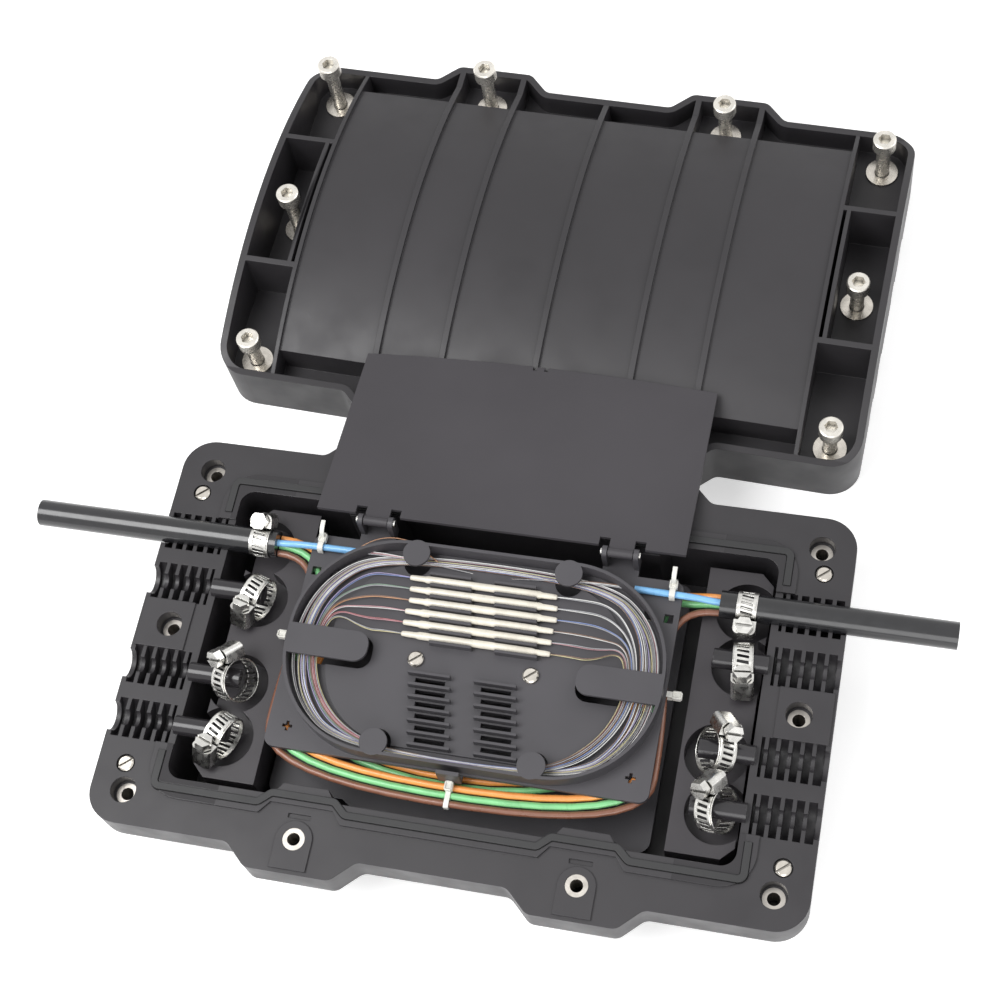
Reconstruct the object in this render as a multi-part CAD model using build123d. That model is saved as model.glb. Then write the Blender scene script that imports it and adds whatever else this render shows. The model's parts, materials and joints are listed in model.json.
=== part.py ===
from build123d import *
import os
from math import asin, cos, degrees, radians, sin, sqrt

# Horizontal fibre splice closure, opened. Millimetres, +Z up, X along the cables.
# The origin is the centre of the base's underside. The cover lies behind it on the same surface.

# The tub, and the flange round it that sets the outline of base and cover
TUB_L = 223.0
TUB_W = 125.0
TUB_R = 6.0
END_BLOCK = 29.0
SIDE_FLANGE = 20.9
CORNER_R = 13.0
WALL = 3.0
BUMP_DEPTH = 8.6
BUMP_TOP = 34.0
BUMP_ROOT = 52.0
BUMP_R = 5.0

# Ten bolt places, counted from the outline
END_BOLT_INSET = 13.5
CORNER_BOLT_INSET = 13.4
SIDE_BOLT_X = 55.0
SIDE_BOLT_INSET = 4.8
BOSS_R = 7.5
BOSS_WEB = 3.0

# Base
BASE_H = 40.0
SKIRT_H = 16.0
PLATE_T = 4.0
FLOOR_T = 3.0
STEP_IN = 5.0
STEP_ROOT = 25.0
STEP_TOP = 18.0
LAND_H = 1.0
LAND_W = 8.0
LAND_END = 7.5
LAND_STEP_W = 3.0
PAD_H = 0.8
PAD_SIDE = 21.0
PAD_R = 7.3
RELIEF_L = 9.0
RELIEF_W = 1.8

# Cable ports: four at each end, with fins across them
PORT_OUTER_Y = 41.0
PORT_INNER_Y = 18.4
PORT_R = 8.0
BED_T = 11.5
FIN_COUNT = 5
FIN_PITCH = 4.5
FIN_T = 1.6
FIN_FIRST = 2.0
END_FIN_T = 2.0
NOTCH_R = 3.2
MOUTH_R = 6.0
SPIGOT_R = 3.9
SPIGOT_L = 20.0

# Cables and their clearance in the ports
CABLE_R = 5.5
CABLE_FIT = 0.05
CABLE_IN_L = 20.5
CABLE_OUT_LEFT = 54.5
CABLE_OUT_RIGHT = 42.0

# Threaded inserts and the small corner screws
INSERT_R = 4.4
INSERT_L = 12.0
INSERT_BORE_R = 2.5
INSERT_SINK = 6.0
INSERT_MOUTH_R = 5.2
INSERT_PROUD = 0.6
BOLT_WELL = 20.0
BOLT_CLEAR_R = 3.3
CORNER_SCREW_X_INSET = 11.5
CORNER_SCREW_Y_INSET = 24.0
SMALL_SCREW_R = 1.5
SMALL_HEAD_R = 3.2
SMALL_HEAD_H = 1.8
SMALL_SCREW_L = 8.0
SMALL_RECESS_R = 4.2
SMALL_RECESS = 1.4

# Sealing cords in the base's groove
SEAL_W = 2.8
SEAL_H = 2.4
GROOVE_DEPTH = 1.8
GROOVE_CLEAR = 0.15

# Anchor rails, which stand on the tub floor under the clamps
RAIL_W = 26.0
RAIL_SIDE_GAP = 4.0
RAIL_TOP = 34.0
RAIL_SLAB = 12.0
RAIL_WALL = 2.5
LEFT_RAIL_GAP = 7.5
RIGHT_RAIL_GAP = 1.3
RAIL_CHAMFER = 5.0
NEST_R = 12.3
NEST_DEPTH = 8.8

# Tray bracket on posts of the tub floor
BRACKET_END_GAP = 34.5
BRACKET_SIDE_GAP = 6.0
BRACKET_T = 2.0
BRACKET_TOP = 17.0
BRACKET_R = 5.0
BRACKET_SCREW_INSET_X = 15.0
BRACKET_SCREW_INSET_Y = 20.5
POST_R = 4.5
STANDOFF_R = 3.5
STANDOFF_X = 23.1
STANDOFF_Y = -1.0

# Splice tray
TRAY_END_GAP = 35.5
TRAY_FRONT_GAP = 18.5
TRAY_BACK_GAP = 15.5
TRAY_Z = 40.0
TRAY_FLOOR = 2.0
TRAY_R = 4.0
TRAY_WALL_H = 8.0
TRAY_WALL = 1.3
OVAL_INSET = 0.75
OVAL_R = 42.0
CHANNEL_END = 16.2
CHANNEL_SIDE = 6.2
PLATEAU_R = 34.0
PLATEAU_H = 1.2
MOULD_CLEAR = 0.6
LATCH_CLIP_W = 9.0
LATCH_CLIP_D = 3.0
LATCH_CLIP_T = 1.5
WIDE_TAB_L = 33.0
WIDE_TAB_W = 12.6
WIDE_TAB_Y = -1.2
TAB_T = 1.4
SMALL_TAB_R = 5.5
SMALL_TAB_X = 31.0
TIE_HOLE = 3.6
TIE_HOLE_INSET = 8.0
TIE_HOLE_PITCH = 8.0
TIE_HOLE_Y = 31.0
CROSS_HOLE = 4.0
CROSS_HOLE_W = 1.2

# Sleeve combs on the tray and the sleeves in them
SLEEVE_R = 1.6
SLEEVE_L = 60.0
SLEEVE_PITCH = 4.8
SLEEVE_COUNT = 6
SLEEVE_Y = 20.5
COMB_L = 17.0
COMB_X = 13.2
COMB_T = 1.1
COMB_H = 3.6
COMB_LEAN = 0.95
COMB_SLOT_L = 12.0
COMB_SLOT_W = 2.2
EMPTY_COMB_Y = -21.5

# Tray lid and its two hinges
HINGE_OUT = 5.0
HINGE_Z = 51.0
HINGE_X = 50.0
PIN_R = 0.9
PIN_FIT = 0.05
PIN_HEAD_R = 1.4
PIN_HEAD_T = 0.7
KNUCKLE_R = 1.9
KNUCKLE_L = 10.0
LUG_T = 2.0
LUG_GAP = 0.3
LUG_R = 2.5
LID_INSET = 0.5
LID_SHORT = 2.5
LID_BOW = 3.0
LID_T = 1.5
LID_START = 2.8
LID_NOTCH = 3.6
LID_CLEAR = 0.15
LID_STEPS = 8
LATCH_W = 5.0
LATCH_D = 2.0

# Cover
COVER_X = -0.6
COVER_GAP = 17.5
COVER_TURN = -2.3
COVER_SIDE_H = 26.5
COVER_CROWN_H = 43.0
POCKET_FLOOR = 15.2
POCKET_T = 3.0
ROOF_DROP = 1.7
ROOF_T = 3.0
ROOF_OVER_END = 2.0
ROOF_OVER_SIDE = 7.5
END_WALL_T = 1.8
END_GROOVE = 1.5
DIVIDER_Y = 33.0
DIVIDER_T = 2.5
RIB_T = 2.6
RIB_X = (-70.0, -41.0, 0.0, 41.0, 70.0)
LIP_T = 4.0
RECESS_CLEAR = 0.2

# Cover bolts, pushed up by the surface below or held higher up in their holes, and their washers
BOLT_R = 3.0
BOLT_L = 30.0
BOLT_LIFTS = (0.0, 9.0, 10.5, 0.0, 0.0, 5.0, 9.5, 5.0)
BOLT_HEAD_R = 5.0
BOLT_HEAD_H = 6.0
BOLT_SOCKET = 5.0
BOLT_SOCKET_DEPTH = 3.6
WASHER_R = 7.0
WASHER_T = 1.0
WASHER_FIT = 0.2

# Hose clamps
BAND_W = 8.0
BAND_T = 0.7
LOOSE_R = 8.4
TAIL_TURN = 70.0
HOUSING_L = 9.0
HOUSING_W = 8.8
HOUSING_H = 5.4
HOUSING_R = 2.2
WORM_R = 2.0
WORM_L = 9.5
WORM_FIT = 0.06
WORM_LIFT = 0.2
HANG_CLEAR = 0.2
WORM_HEAD = 6.4
WORM_HEAD_T = 3.4
WORM_SLOT = 1.1

# Tubes, fibres and ties
TUBE_R = 1.4
TUBE_TURN = 8.0
TUBE_FRONT_GAP = 7.5
TUBE_SIDE_OUT = 1.0
TUBE_ENTRY_IN = 7.0
TUBE_BULGE_Y = -14.0
TUBE_NEST = 3.2
TUBE_END_INSET = 19.0
TUBE_FIT = 0.3
LOOP_IN = 7.8
LOOP_FRONT = 6.4
LOOP_BACK = 10.0
LOOP_TURN = 14.0
LOOP_BEND = 5.0
LOOP_RUN = 12.0
COIL_GAP = 0.3
COIL_W = 3.8
COIL_H = 4.2
FAN_T = 1.0
TIE_W = 2.4
TIE_T = 0.9
TIE_HEAD = 4.0
TIE_FIT = 0.05

RIM_Z = BASE_H
LENGTH = TUB_L + 2 * END_BLOCK
WIDTH = TUB_W + 2 * SIDE_FLANGE
ROOF_L = TUB_L + 2 * ROOF_OVER_END
ROOF_W = TUB_W + 2 * ROOF_OVER_SIDE
PORT_YS = (PORT_OUTER_Y, PORT_INNER_Y, -PORT_INNER_Y, -PORT_OUTER_Y)
CABLE_Y = PORT_OUTER_Y
END_X = LENGTH / 2
SIDE_Y = WIDTH / 2
BUMP_Y = SIDE_Y + BUMP_DEPTH
END_BOLT_X = END_X - END_BOLT_INSET
CORNER_BOLT_Y = SIDE_Y - CORNER_BOLT_INSET
SIDE_BOLT_Y = SIDE_Y - SIDE_BOLT_INSET
END_BOLTS = [(s * END_BOLT_X, y) for s in (-1, 1) for y in (-CORNER_BOLT_Y, 0.0, CORNER_BOLT_Y)]
SIDE_BOLTS = [(s * SIDE_BOLT_X, t * SIDE_BOLT_Y) for s in (-1, 1) for t in (-1, 1)]
BOLTS = END_BOLTS + SIDE_BOLTS
TUB_END = TUB_L / 2
TUB_SIDE = TUB_W / 2
COVER_Y = 2 * BUMP_Y + COVER_GAP
LEFT_RAIL_X = -TUB_END + LEFT_RAIL_GAP + RAIL_W / 2
RIGHT_RAIL_X = TUB_END - RIGHT_RAIL_GAP - RAIL_W / 2
BRACKET_L = TUB_L - 2 * BRACKET_END_GAP
BRACKET_W = TUB_W - 2 * BRACKET_SIDE_GAP
TRAY_L = TUB_L - 2 * TRAY_END_GAP
TRAY_W = TUB_W - TRAY_FRONT_GAP - TRAY_BACK_GAP
TRAY_Y = (TRAY_FRONT_GAP - TRAY_BACK_GAP) / 2
OVAL_L = TRAY_L - 2 * OVAL_INSET
OVAL_W = TRAY_W - 2 * OVAL_INSET
PLATEAU_L = OVAL_L - 2 * CHANNEL_END
PLATEAU_W = OVAL_W - 2 * CHANNEL_SIDE
HINGE_Y = TRAY_Y + TRAY_W / 2 + HINGE_OUT
LID_L = TRAY_L - 2 * LID_INSET
LID_REACH = TRAY_W - LID_SHORT
CUT = 1.0


def prism(sketch, low, high):
    """The sketch as a solid between two heights."""
    return extrude(Pos(0, 0, low) * sketch, high - low)


def block(x0, x1, y0, y1, z0, z1):
    """A box given by its low and high sides."""
    centre = Pos((x0 + x1) / 2, (y0 + y1) / 2, (z0 + z1) / 2)
    return centre * Box(x1 - x0, y1 - y0, z1 - z0)


def rod_x(x0, x1, y, z, r):
    """A round bar along X."""
    return Pos((x0 + x1) / 2, y, z) * Rot(0, 90, 0) * Cylinder(r, x1 - x0)


def post(x, y, low, high, r):
    """A round bar along Z."""
    return Pos(x, y, (low + high) / 2) * Cylinder(r, high - low)


def trapezoid_at(x, y, root, top, depth, side):
    """A flat bump on a long side: wide at y, narrower a depth further out along side."""
    far = y + side * depth
    corners = [(x - root / 2, y), (x + root / 2, y), (x + top / 2, far), (x - top / 2, far)]
    return make_face(Polyline(*corners, close=True))


def shell_outline(inset=0.0):
    """The plan of both halves: a rounded rectangle that bulges round the four side bolts."""
    plan = RectangleRounded(LENGTH, WIDTH, CORNER_R)
    for x in (-SIDE_BOLT_X, SIDE_BOLT_X):
        for side in (-1, 1):
            plan += trapezoid_at(x, side * SIDE_Y, BUMP_ROOT, BUMP_TOP, BUMP_DEPTH, side)
    near = [v for v in plan.vertices() if abs(v.Y) > SIDE_Y - CUT and abs(v.X) < END_X - 2 * CORNER_R]
    plan = fillet(near, BUMP_R)
    if inset:
        plan = offset(plan, -inset)
    return plan


def tub_plan(grow=0.0):
    """The tub's mouth, stepped inwards beside each side bolt."""
    plan = RectangleRounded(TUB_L + 2 * grow, TUB_W + 2 * grow, TUB_R + grow)
    for x in (-SIDE_BOLT_X, SIDE_BOLT_X):
        for side in (-1, 1):
            y = side * (TUB_SIDE + grow)
            plan -= trapezoid_at(x, y, STEP_ROOT, STEP_TOP, STEP_IN, -side)
    return plan


def land_plan(clear=0.0):
    """The raised sealing band round the tub, outside the port beds."""
    band = RectangleRounded(TUB_L + 2 * (LAND_END + clear), TUB_W + 2 * (LAND_W + clear), TUB_R + LAND_W)
    for x in (-SIDE_BOLT_X, SIDE_BOLT_X):
        for side in (-1, 1):
            y = side * (TUB_SIDE + LAND_W + clear)
            band -= trapezoid_at(x, y, STEP_ROOT + LAND_W, STEP_ROOT, STEP_IN, -side)
    band -= Rectangle(LENGTH, 2 * (PORT_OUTER_Y + PORT_R) - 2 * clear)
    return band


def seal_line(side):
    """The centre line of one sealing cord, which steps inwards beside the side bolts."""
    x_end = TUB_END + LAND_END / 2
    y_start = side * (PORT_OUTER_Y + PORT_R + WALL)
    y_run = side * (TUB_SIDE + LAND_W / 2)
    y_step = side * (TUB_SIDE + LAND_W / 2 - STEP_IN + CUT / 2)
    half = STEP_ROOT / 2
    points = [(-x_end, y_start), (-x_end, y_run)]
    for x in (-SIDE_BOLT_X, SIDE_BOLT_X):
        points += [(x - half - STEP_IN, y_run), (x - half, y_step), (x + half, y_step)]
        points += [(x + half + STEP_IN, y_run)]
    points += [(x_end, y_run), (x_end, y_start)]
    return FilletPolyline(*points, radius=BUMP_R / 2)


def seal_band(side, width):
    """A flat band of the given width along a sealing cord's line."""
    return trace(seal_line(side), width)


def port_cut(side, y, notch_r):
    """The finned half-round pocket of one port and the notch through its fins, cut at the rim."""
    inner = side * (TUB_END + WALL)
    outer = side * (END_X - END_FIN_T)
    x0, x1 = sorted((inner, outer))
    pocket = rod_x(x0, x1, y, RIM_Z, PORT_R)
    for i in range(FIN_COUNT):
        x = side * (TUB_END + WALL + FIN_FIRST + FIN_PITCH * i)
        pocket -= block(x - FIN_T / 2, x + FIN_T / 2, y - PORT_R, y + PORT_R, RIM_Z - PORT_R, RIM_Z)
    notch_in = side * (TUB_END + WALL)
    if notch_r > NOTCH_R:
        notch_in = side * (TUB_END - CUT)
    n0, n1 = sorted((notch_in, side * (END_X + CUT)))
    m0, m1 = sorted((outer, side * (END_X + CUT)))
    return pocket + rod_x(n0, n1, y, RIM_Z, notch_r) + rod_x(m0, m1, y, RIM_Z, MOUTH_R)


def port_notch(side, y):
    """The notch radius of a port: cut to the cable where one passes, else as moulded."""
    if y == CABLE_Y:
        return CABLE_R + CABLE_FIT
    return NOTCH_R


def port_beds(low, high):
    """The thick blocks at both ends that the ports are cut in."""
    half = PORT_OUTER_Y + PORT_R + WALL
    left = block(-END_X + CUT, -TUB_END, -half, half, low, high)
    right = block(TUB_END, END_X - CUT, -half, half, low, high)
    return left + right


def base_shell():
    """The moulded tub with its flange, skirt, bosses, finned ports and blanking spigots."""
    outline = shell_outline()
    inside = shell_outline(WALL)
    body = prism(outline, RIM_Z - SKIRT_H, RIM_Z) - prism(inside, RIM_Z - SKIRT_H, RIM_Z - PLATE_T)
    body += prism(RectangleRounded(TUB_L + 2 * WALL, TUB_W + 2 * WALL, TUB_R + WALL), 0, RIM_Z)
    body += prism(tub_plan(WALL), 0, RIM_Z) + port_beds(RIM_Z - BED_T, RIM_Z)
    well_low = RIM_Z - BOLT_WELL
    for x, y in BOLTS:
        body += post(x, y, well_low - WALL, RIM_Z, BOSS_R)
    for x, y in END_BOLTS:
        web_y = y - (BOSS_R - BOSS_WEB / 2) * (y > 0) + (BOSS_R - BOSS_WEB / 2) * (y < 0)
        x0, x1 = sorted((x, (TUB_END + WALL / 2) * (1 if x > 0 else -1)))
        body += block(x0, x1, web_y - BOSS_WEB / 2, web_y + BOSS_WEB / 2, well_low, RIM_Z - PLATE_T)
    for x, y in SIDE_BOLTS:
        y0, y1 = sorted((y, (TUB_SIDE + WALL / 2) * (1 if y > 0 else -1)))
        body += block(x - BOSS_WEB / 2, x + BOSS_WEB / 2, y0, y1, well_low, RIM_Z - PLATE_T)
    for x, y in corner_screw_places():
        body += post(x, y, RIM_Z - SMALL_SCREW_L - WALL, RIM_Z, SMALL_RECESS_R)
    body += prism(land_plan(), RIM_Z - CUT, RIM_Z + LAND_H)
    for s in (-1, 1):
        x = s * (END_X - PAD_SIDE / 2 - CUT)
        body += Pos(x, 0, RIM_Z) * Box(PAD_SIDE, PAD_SIDE, 2 * PAD_H)
    for x, y in SIDE_BOLTS:
        out = BUMP_Y - WALL / 2 if y > 0 else -BUMP_Y + WALL / 2
        y0, y1 = sorted((y, out))
        pad = post(x, y, RIM_Z - CUT, RIM_Z + PAD_H, PAD_R)
        body += pad + block(x - PAD_R, x + PAD_R, y0, y1, RIM_Z - CUT, RIM_Z + PAD_H)
    body -= prism(tub_plan(), FLOOR_T, RIM_Z + 2 * LAND_H)
    for side in (-1, 1):
        for y in PORT_YS:
            body -= port_cut(side, y, port_notch(side, y))
        groove = seal_band(side, SEAL_W + 2 * GROOVE_CLEAR)
        body -= prism(groove, RIM_Z + LAND_H - GROOVE_DEPTH, RIM_Z + 2 * LAND_H)
    for x, y in END_BOLTS:
        body -= post(x, y, RIM_Z - INSERT_SINK, RIM_Z + CUT, INSERT_MOUTH_R)
        body -= post(x, y, RIM_Z - INSERT_SINK - INSERT_L, RIM_Z, INSERT_R)
        body -= post(x, y, well_low, RIM_Z, BOLT_CLEAR_R)
    for x, y in SIDE_BOLTS:
        body -= post(x, y, RIM_Z + INSERT_PROUD - INSERT_L, RIM_Z + CUT, INSERT_R)
        body -= post(x, y, well_low, RIM_Z, BOLT_CLEAR_R)
        slot_y = y - (PAD_R + RELIEF_W) * (1 if y > 0 else -1)
        body -= Pos(x, slot_y, RIM_Z + LAND_H) * Box(RELIEF_L, RELIEF_W, 2 * (LAND_H + PAD_H))
    for x, y in corner_screw_places():
        body -= post(x, y, RIM_Z - SMALL_RECESS, RIM_Z + LAND_H + CUT, SMALL_RECESS_R - CUT / 2)
        body -= post(x, y, RIM_Z - SMALL_RECESS - SMALL_SCREW_L, RIM_Z, SMALL_SCREW_R)
    for x, y in bracket_screw_places():
        body += post(x, y, FLOOR_T, BRACKET_TOP - BRACKET_T, POST_R)
        body -= post(x, y, FLOOR_T, BRACKET_TOP, SMALL_SCREW_R)
    for side in (-1, 1):
        for y in PORT_YS:
            if y != CABLE_Y:
                x0, x1 = sorted((side * (TUB_END + WALL / 2), side * (TUB_END - SPIGOT_L)))
                body += rod_x(x0, x1, y, RIM_Z, SPIGOT_R)
    return body


def corner_screw_places():
    """The four small screws beside the outer ports."""
    x = END_X - CORNER_SCREW_X_INSET
    y = SIDE_Y - CORNER_SCREW_Y_INSET
    return [(s * x, t * y) for s in (-1, 1) for t in (-1, 1)]


def bracket_screw_places():
    """The four posts that carry the tray bracket."""
    x = BRACKET_L / 2 - BRACKET_SCREW_INSET_X
    y = BRACKET_W / 2 - BRACKET_SCREW_INSET_Y
    return [(s * x, t * y) for s in (-1, 1) for t in (-1, 1)]


def small_screw(x, y, seat, length):
    """A pan-head screw with a straight slot, its head resting on the seat height."""
    head = post(x, y, seat, seat + SMALL_HEAD_H, SMALL_HEAD_R)
    head = chamfer(head.faces().sort_by(Axis.Z)[-1].edges(), SMALL_HEAD_H / 3)
    screw = head + post(x, y, seat - length, seat, SMALL_SCREW_R)
    slot = Box(2 * SMALL_HEAD_R, SMALL_HEAD_H / 2, SMALL_HEAD_H)
    return screw - Pos(x, y, seat + SMALL_HEAD_H) * Rot(0, 0, 40) * slot


def threaded_inserts():
    """Ten metal inserts: sunk in the end bosses, a little proud in the side ones."""
    group = []
    for x, y in BOLTS:
        top = RIM_Z - INSERT_SINK if (x, y) in END_BOLTS else RIM_Z + INSERT_PROUD
        sleeve = post(x, y, top - INSERT_L, top, INSERT_R)
        group.append(sleeve - post(x, y, top - INSERT_L - CUT, top + CUT, INSERT_BORE_R))
    return group


def sealing_cords():
    """Two rubber cords that lie in the base's groove."""
    floor = RIM_Z + LAND_H - GROOVE_DEPTH
    return [prism(seal_band(side, SEAL_W), floor, floor + SEAL_H) for side in (-1, 1)]


def anchor_rail(x, side):
    """A moulded bench under one end's clamps, hollow below, with a round nest for each clamp."""
    half_w = RAIL_W / 2
    half_l = TUB_SIDE - RAIL_SIDE_GAP
    rail = block(x - half_w, x + half_w, -half_l, half_l, FLOOR_T, RAIL_TOP)
    upright = [e for e in rail.edges().filter_by(Axis.Z) if side * e.center().X > side * x]
    rail = chamfer(upright, RAIL_CHAMFER)
    inner_w = half_w - RAIL_WALL
    inner_l = half_l - RAIL_CHAMFER
    rail -= block(x - inner_w, x + inner_w, -inner_l, inner_l, FLOOR_T, RAIL_TOP - RAIL_SLAB)
    for spec in CLAMPS:
        if spec[0] == side:
            rail -= post(side * (TUB_END - spec[1]), spec[2], RAIL_TOP - NEST_DEPTH, RAIL_TOP + CUT, NEST_R)
    return rail


def tray_bracket():
    """A plate on the tub's posts, with two standoffs that carry the tray."""
    plate = prism(RectangleRounded(BRACKET_L, BRACKET_W, BRACKET_R), BRACKET_TOP - BRACKET_T, BRACKET_TOP)
    for x in (-SIDE_BOLT_X, SIDE_BOLT_X):
        for side in (-1, 1):
            relief = trapezoid_at(x, side * BRACKET_W / 2, STEP_ROOT, STEP_TOP, STEP_IN / 2, -side)
            plate -= prism(relief, 0, BRACKET_TOP + CUT)
    for s in (-1, 1):
        plate += post(s * STANDOFF_X, STANDOFF_Y, BRACKET_TOP, TRAY_Z, STANDOFF_R)
        plate -= post(s * STANDOFF_X, STANDOFF_Y, BRACKET_TOP, TRAY_Z + CUT, SMALL_SCREW_R)
    for x, y in bracket_screw_places():
        plate -= post(x, y, 0, BRACKET_TOP + CUT, SMALL_SCREW_R)
    return plate


def comb(x, y):
    """A row of slanting ribs that hold six sleeves side by side."""
    seat = TRAY_Z + TRAY_FLOOR + PLATEAU_H
    ribs = []
    for i in range(SLEEVE_COUNT + 1):
        row = i - SLEEVE_COUNT / 2
        rib_x = x - row * COMB_LEAN
        rib_y = y + row * SLEEVE_PITCH
        rib = Pos(rib_x, rib_y, seat + COMB_H / 2) * Box(COMB_L, COMB_T, COMB_H)
        ribs.append(rib)
    return ribs


def comb_slots(x, y):
    """The slots that the mould leaves through the raised middle between a comb's ribs."""
    slots = []
    for i in range(SLEEVE_COUNT):
        row = i - (SLEEVE_COUNT - 1) / 2
        place = Pos(x - row * COMB_LEAN, y + row * SLEEVE_PITCH, TRAY_Z)
        slots.append(place * Box(COMB_SLOT_L, COMB_SLOT_W, 4 * TRAY_FLOOR))
    return slots


def latch_clip():
    """The hooked tongue at the tray's front that the lid snaps under."""
    front = TRAY_Y - TRAY_W / 2
    top = TRAY_Z + TRAY_FLOOR + TRAY_WALL_H
    half = LATCH_CLIP_W / 2
    clip = block(-half, half, front - LATCH_CLIP_D, front + CUT, TRAY_Z, TRAY_Z + LATCH_CLIP_T)
    clip += block(-half, half, front - LATCH_CLIP_D, front - LATCH_CLIP_D + LATCH_CLIP_T, TRAY_Z, top)
    return clip


def tray():
    """The splice tray: floor, oval wall, raised middle, combs, keeper tabs and hinge lugs."""
    floor_top = TRAY_Z + TRAY_FLOOR
    wall_top = floor_top + TRAY_WALL_H
    tie_hole_x = TRAY_L / 2 - TIE_HOLE_INSET
    middle = Pos(0, TRAY_Y)
    body = prism(middle * RectangleRounded(TRAY_L, TRAY_W, TRAY_R), TRAY_Z, floor_top) + latch_clip()
    oval = middle * RectangleRounded(OVAL_L, OVAL_W, OVAL_R)
    body += prism(oval - offset(oval, -TRAY_WALL), floor_top - CUT, wall_top)
    body += prism(middle * RectangleRounded(PLATEAU_L, PLATEAU_W, PLATEAU_R), TRAY_Z, floor_top + PLATEAU_H)
    for x in (-COMB_X, COMB_X):
        for y in (SLEEVE_Y, EMPTY_COMB_Y):
            for rib in comb(x, y):
                body += rib
            for slot in comb_slots(x, y):
                body -= slot
    for s in (-1, 1):
        wall_x = s * (OVAL_L / 2 - TRAY_WALL / 2)
        tip_x = wall_x - s * WIDE_TAB_L
        x0, x1 = sorted((wall_x, tip_x))
        tab_low = WIDE_TAB_Y - WIDE_TAB_W / 2
        tab = block(x0, x1, tab_low, tab_low + WIDE_TAB_W, wall_top - TAB_T, wall_top)
        tip_edges = [e for e in tab.edges().filter_by(Axis.Z) if abs(e.center().X - tip_x) < CUT]
        tab = fillet(tip_edges, WIDE_TAB_W / 2 - CUT)
        hole_x = sorted((s * (OVAL_L / 2 - TRAY_WALL - MOULD_CLEAR), tip_x - s * MOULD_CLEAR))
        hole_low = tab_low - MOULD_CLEAR
        hole_high = tab_low + WIDE_TAB_W + MOULD_CLEAR
        hole = block(*hole_x, hole_low, hole_high, TRAY_Z - CUT, floor_top + PLATEAU_H + CUT)
        hole_tip = [e for e in hole.edges().filter_by(Axis.Z) if abs(e.center().X) < abs(tip_x) + CUT]
        body -= fillet(hole_tip, WIDE_TAB_W / 2 - CUT)
        body += tab
        for t in (-1, 1):
            tab_y = TRAY_Y + t * (OVAL_W / 2 - SMALL_TAB_R + TRAY_WALL / 2)
            hole_y = tab_y - t * (TRAY_WALL + MOULD_CLEAR)
            body -= post(s * SMALL_TAB_X, hole_y, TRAY_Z - CUT, floor_top + PLATEAU_H + CUT, SMALL_TAB_R)
            body += post(s * SMALL_TAB_X, tab_y, wall_top - TAB_T, wall_top, SMALL_TAB_R)
    for s in (-1, 1):
        for k in (0, 1):
            x = s * (tie_hole_x - k * TIE_HOLE_PITCH + TIE_HOLE_PITCH / 2)
            body -= Pos(x, TIE_HOLE_Y, TRAY_Z) * Box(TIE_HOLE, TIE_HOLE, 4 * TRAY_FLOOR)
        cross = Pos(s * tie_hole_x, -TIE_HOLE_Y - CROSS_HOLE, TRAY_Z)
        body -= cross * Box(CROSS_HOLE, CROSS_HOLE_W, 4 * TRAY_FLOOR)
        body -= cross * Box(CROSS_HOLE_W, CROSS_HOLE, 4 * TRAY_FLOOR)
        body -= post(s * STANDOFF_X, STANDOFF_Y, TRAY_Z - CUT, wall_top, SMALL_SCREW_R)
    for s in (-1, 1):
        body += hinge_lugs(s * HINGE_X)
    return body


def hinge_lugs(x):
    """Two ears on a tongue behind the tray, bored for a hinge pin."""
    inner = KNUCKLE_L / 2 + LUG_GAP
    outer = inner + LUG_T
    tray_back = TRAY_Y + TRAY_W / 2
    tongue = block(x - outer, x + outer, tray_back - 2 * CUT, HINGE_Y + LUG_R, TRAY_Z, TRAY_Z + TRAY_FLOOR)
    lugs = tongue
    for s in (-1, 1):
        x0, x1 = sorted((x + s * inner, x + s * outer))
        ear = block(x0, x1, HINGE_Y - LUG_R, HINGE_Y + LUG_R, TRAY_Z, HINGE_Z)
        lugs += ear + rod_x(x0, x1, HINGE_Y, HINGE_Z, LUG_R)
    return lugs - rod_x(x - outer - CUT, x + outer + CUT, HINGE_Y, HINGE_Z, PIN_R)


def hinge_pins():
    """A headed pin through each pair of ears."""
    half = KNUCKLE_L / 2 + LUG_GAP + LUG_T
    pins = []
    for x in (-HINGE_X, HINGE_X):
        pin = rod_x(x - half - PIN_HEAD_T, x + half + PIN_HEAD_T, HINGE_Y, HINGE_Z, PIN_R)
        for s in (-1, 1):
            x0, x1 = sorted((x + s * half, x + s * (half + PIN_HEAD_T)))
            pin += rod_x(x0, x1, HINGE_Y, HINGE_Z, PIN_HEAD_R)
        pins.append(pin)
    return pins


def roof_height(y):
    """The height of the cover's arched top at a distance y from its middle."""
    half = SIDE_Y - WALL
    rise = COVER_CROWN_H - COVER_SIDE_H
    radius = (half**2 + rise**2) / (2 * rise)
    return COVER_CROWN_H - radius + sqrt(radius**2 - y**2)


def lid_droop():
    """The angle by which the open lid slopes down until its free edge meets the cover's ribs."""
    angle = 0.0
    for _ in range(LID_STEPS):
        edge_y = HINGE_Y + LID_REACH * cos(angle)
        top = roof_height(COVER_Y - edge_y) + LID_T / 2 + LID_CLEAR
        angle = asin((HINGE_Z - top) / LID_REACH)
    return degrees(angle)


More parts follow.
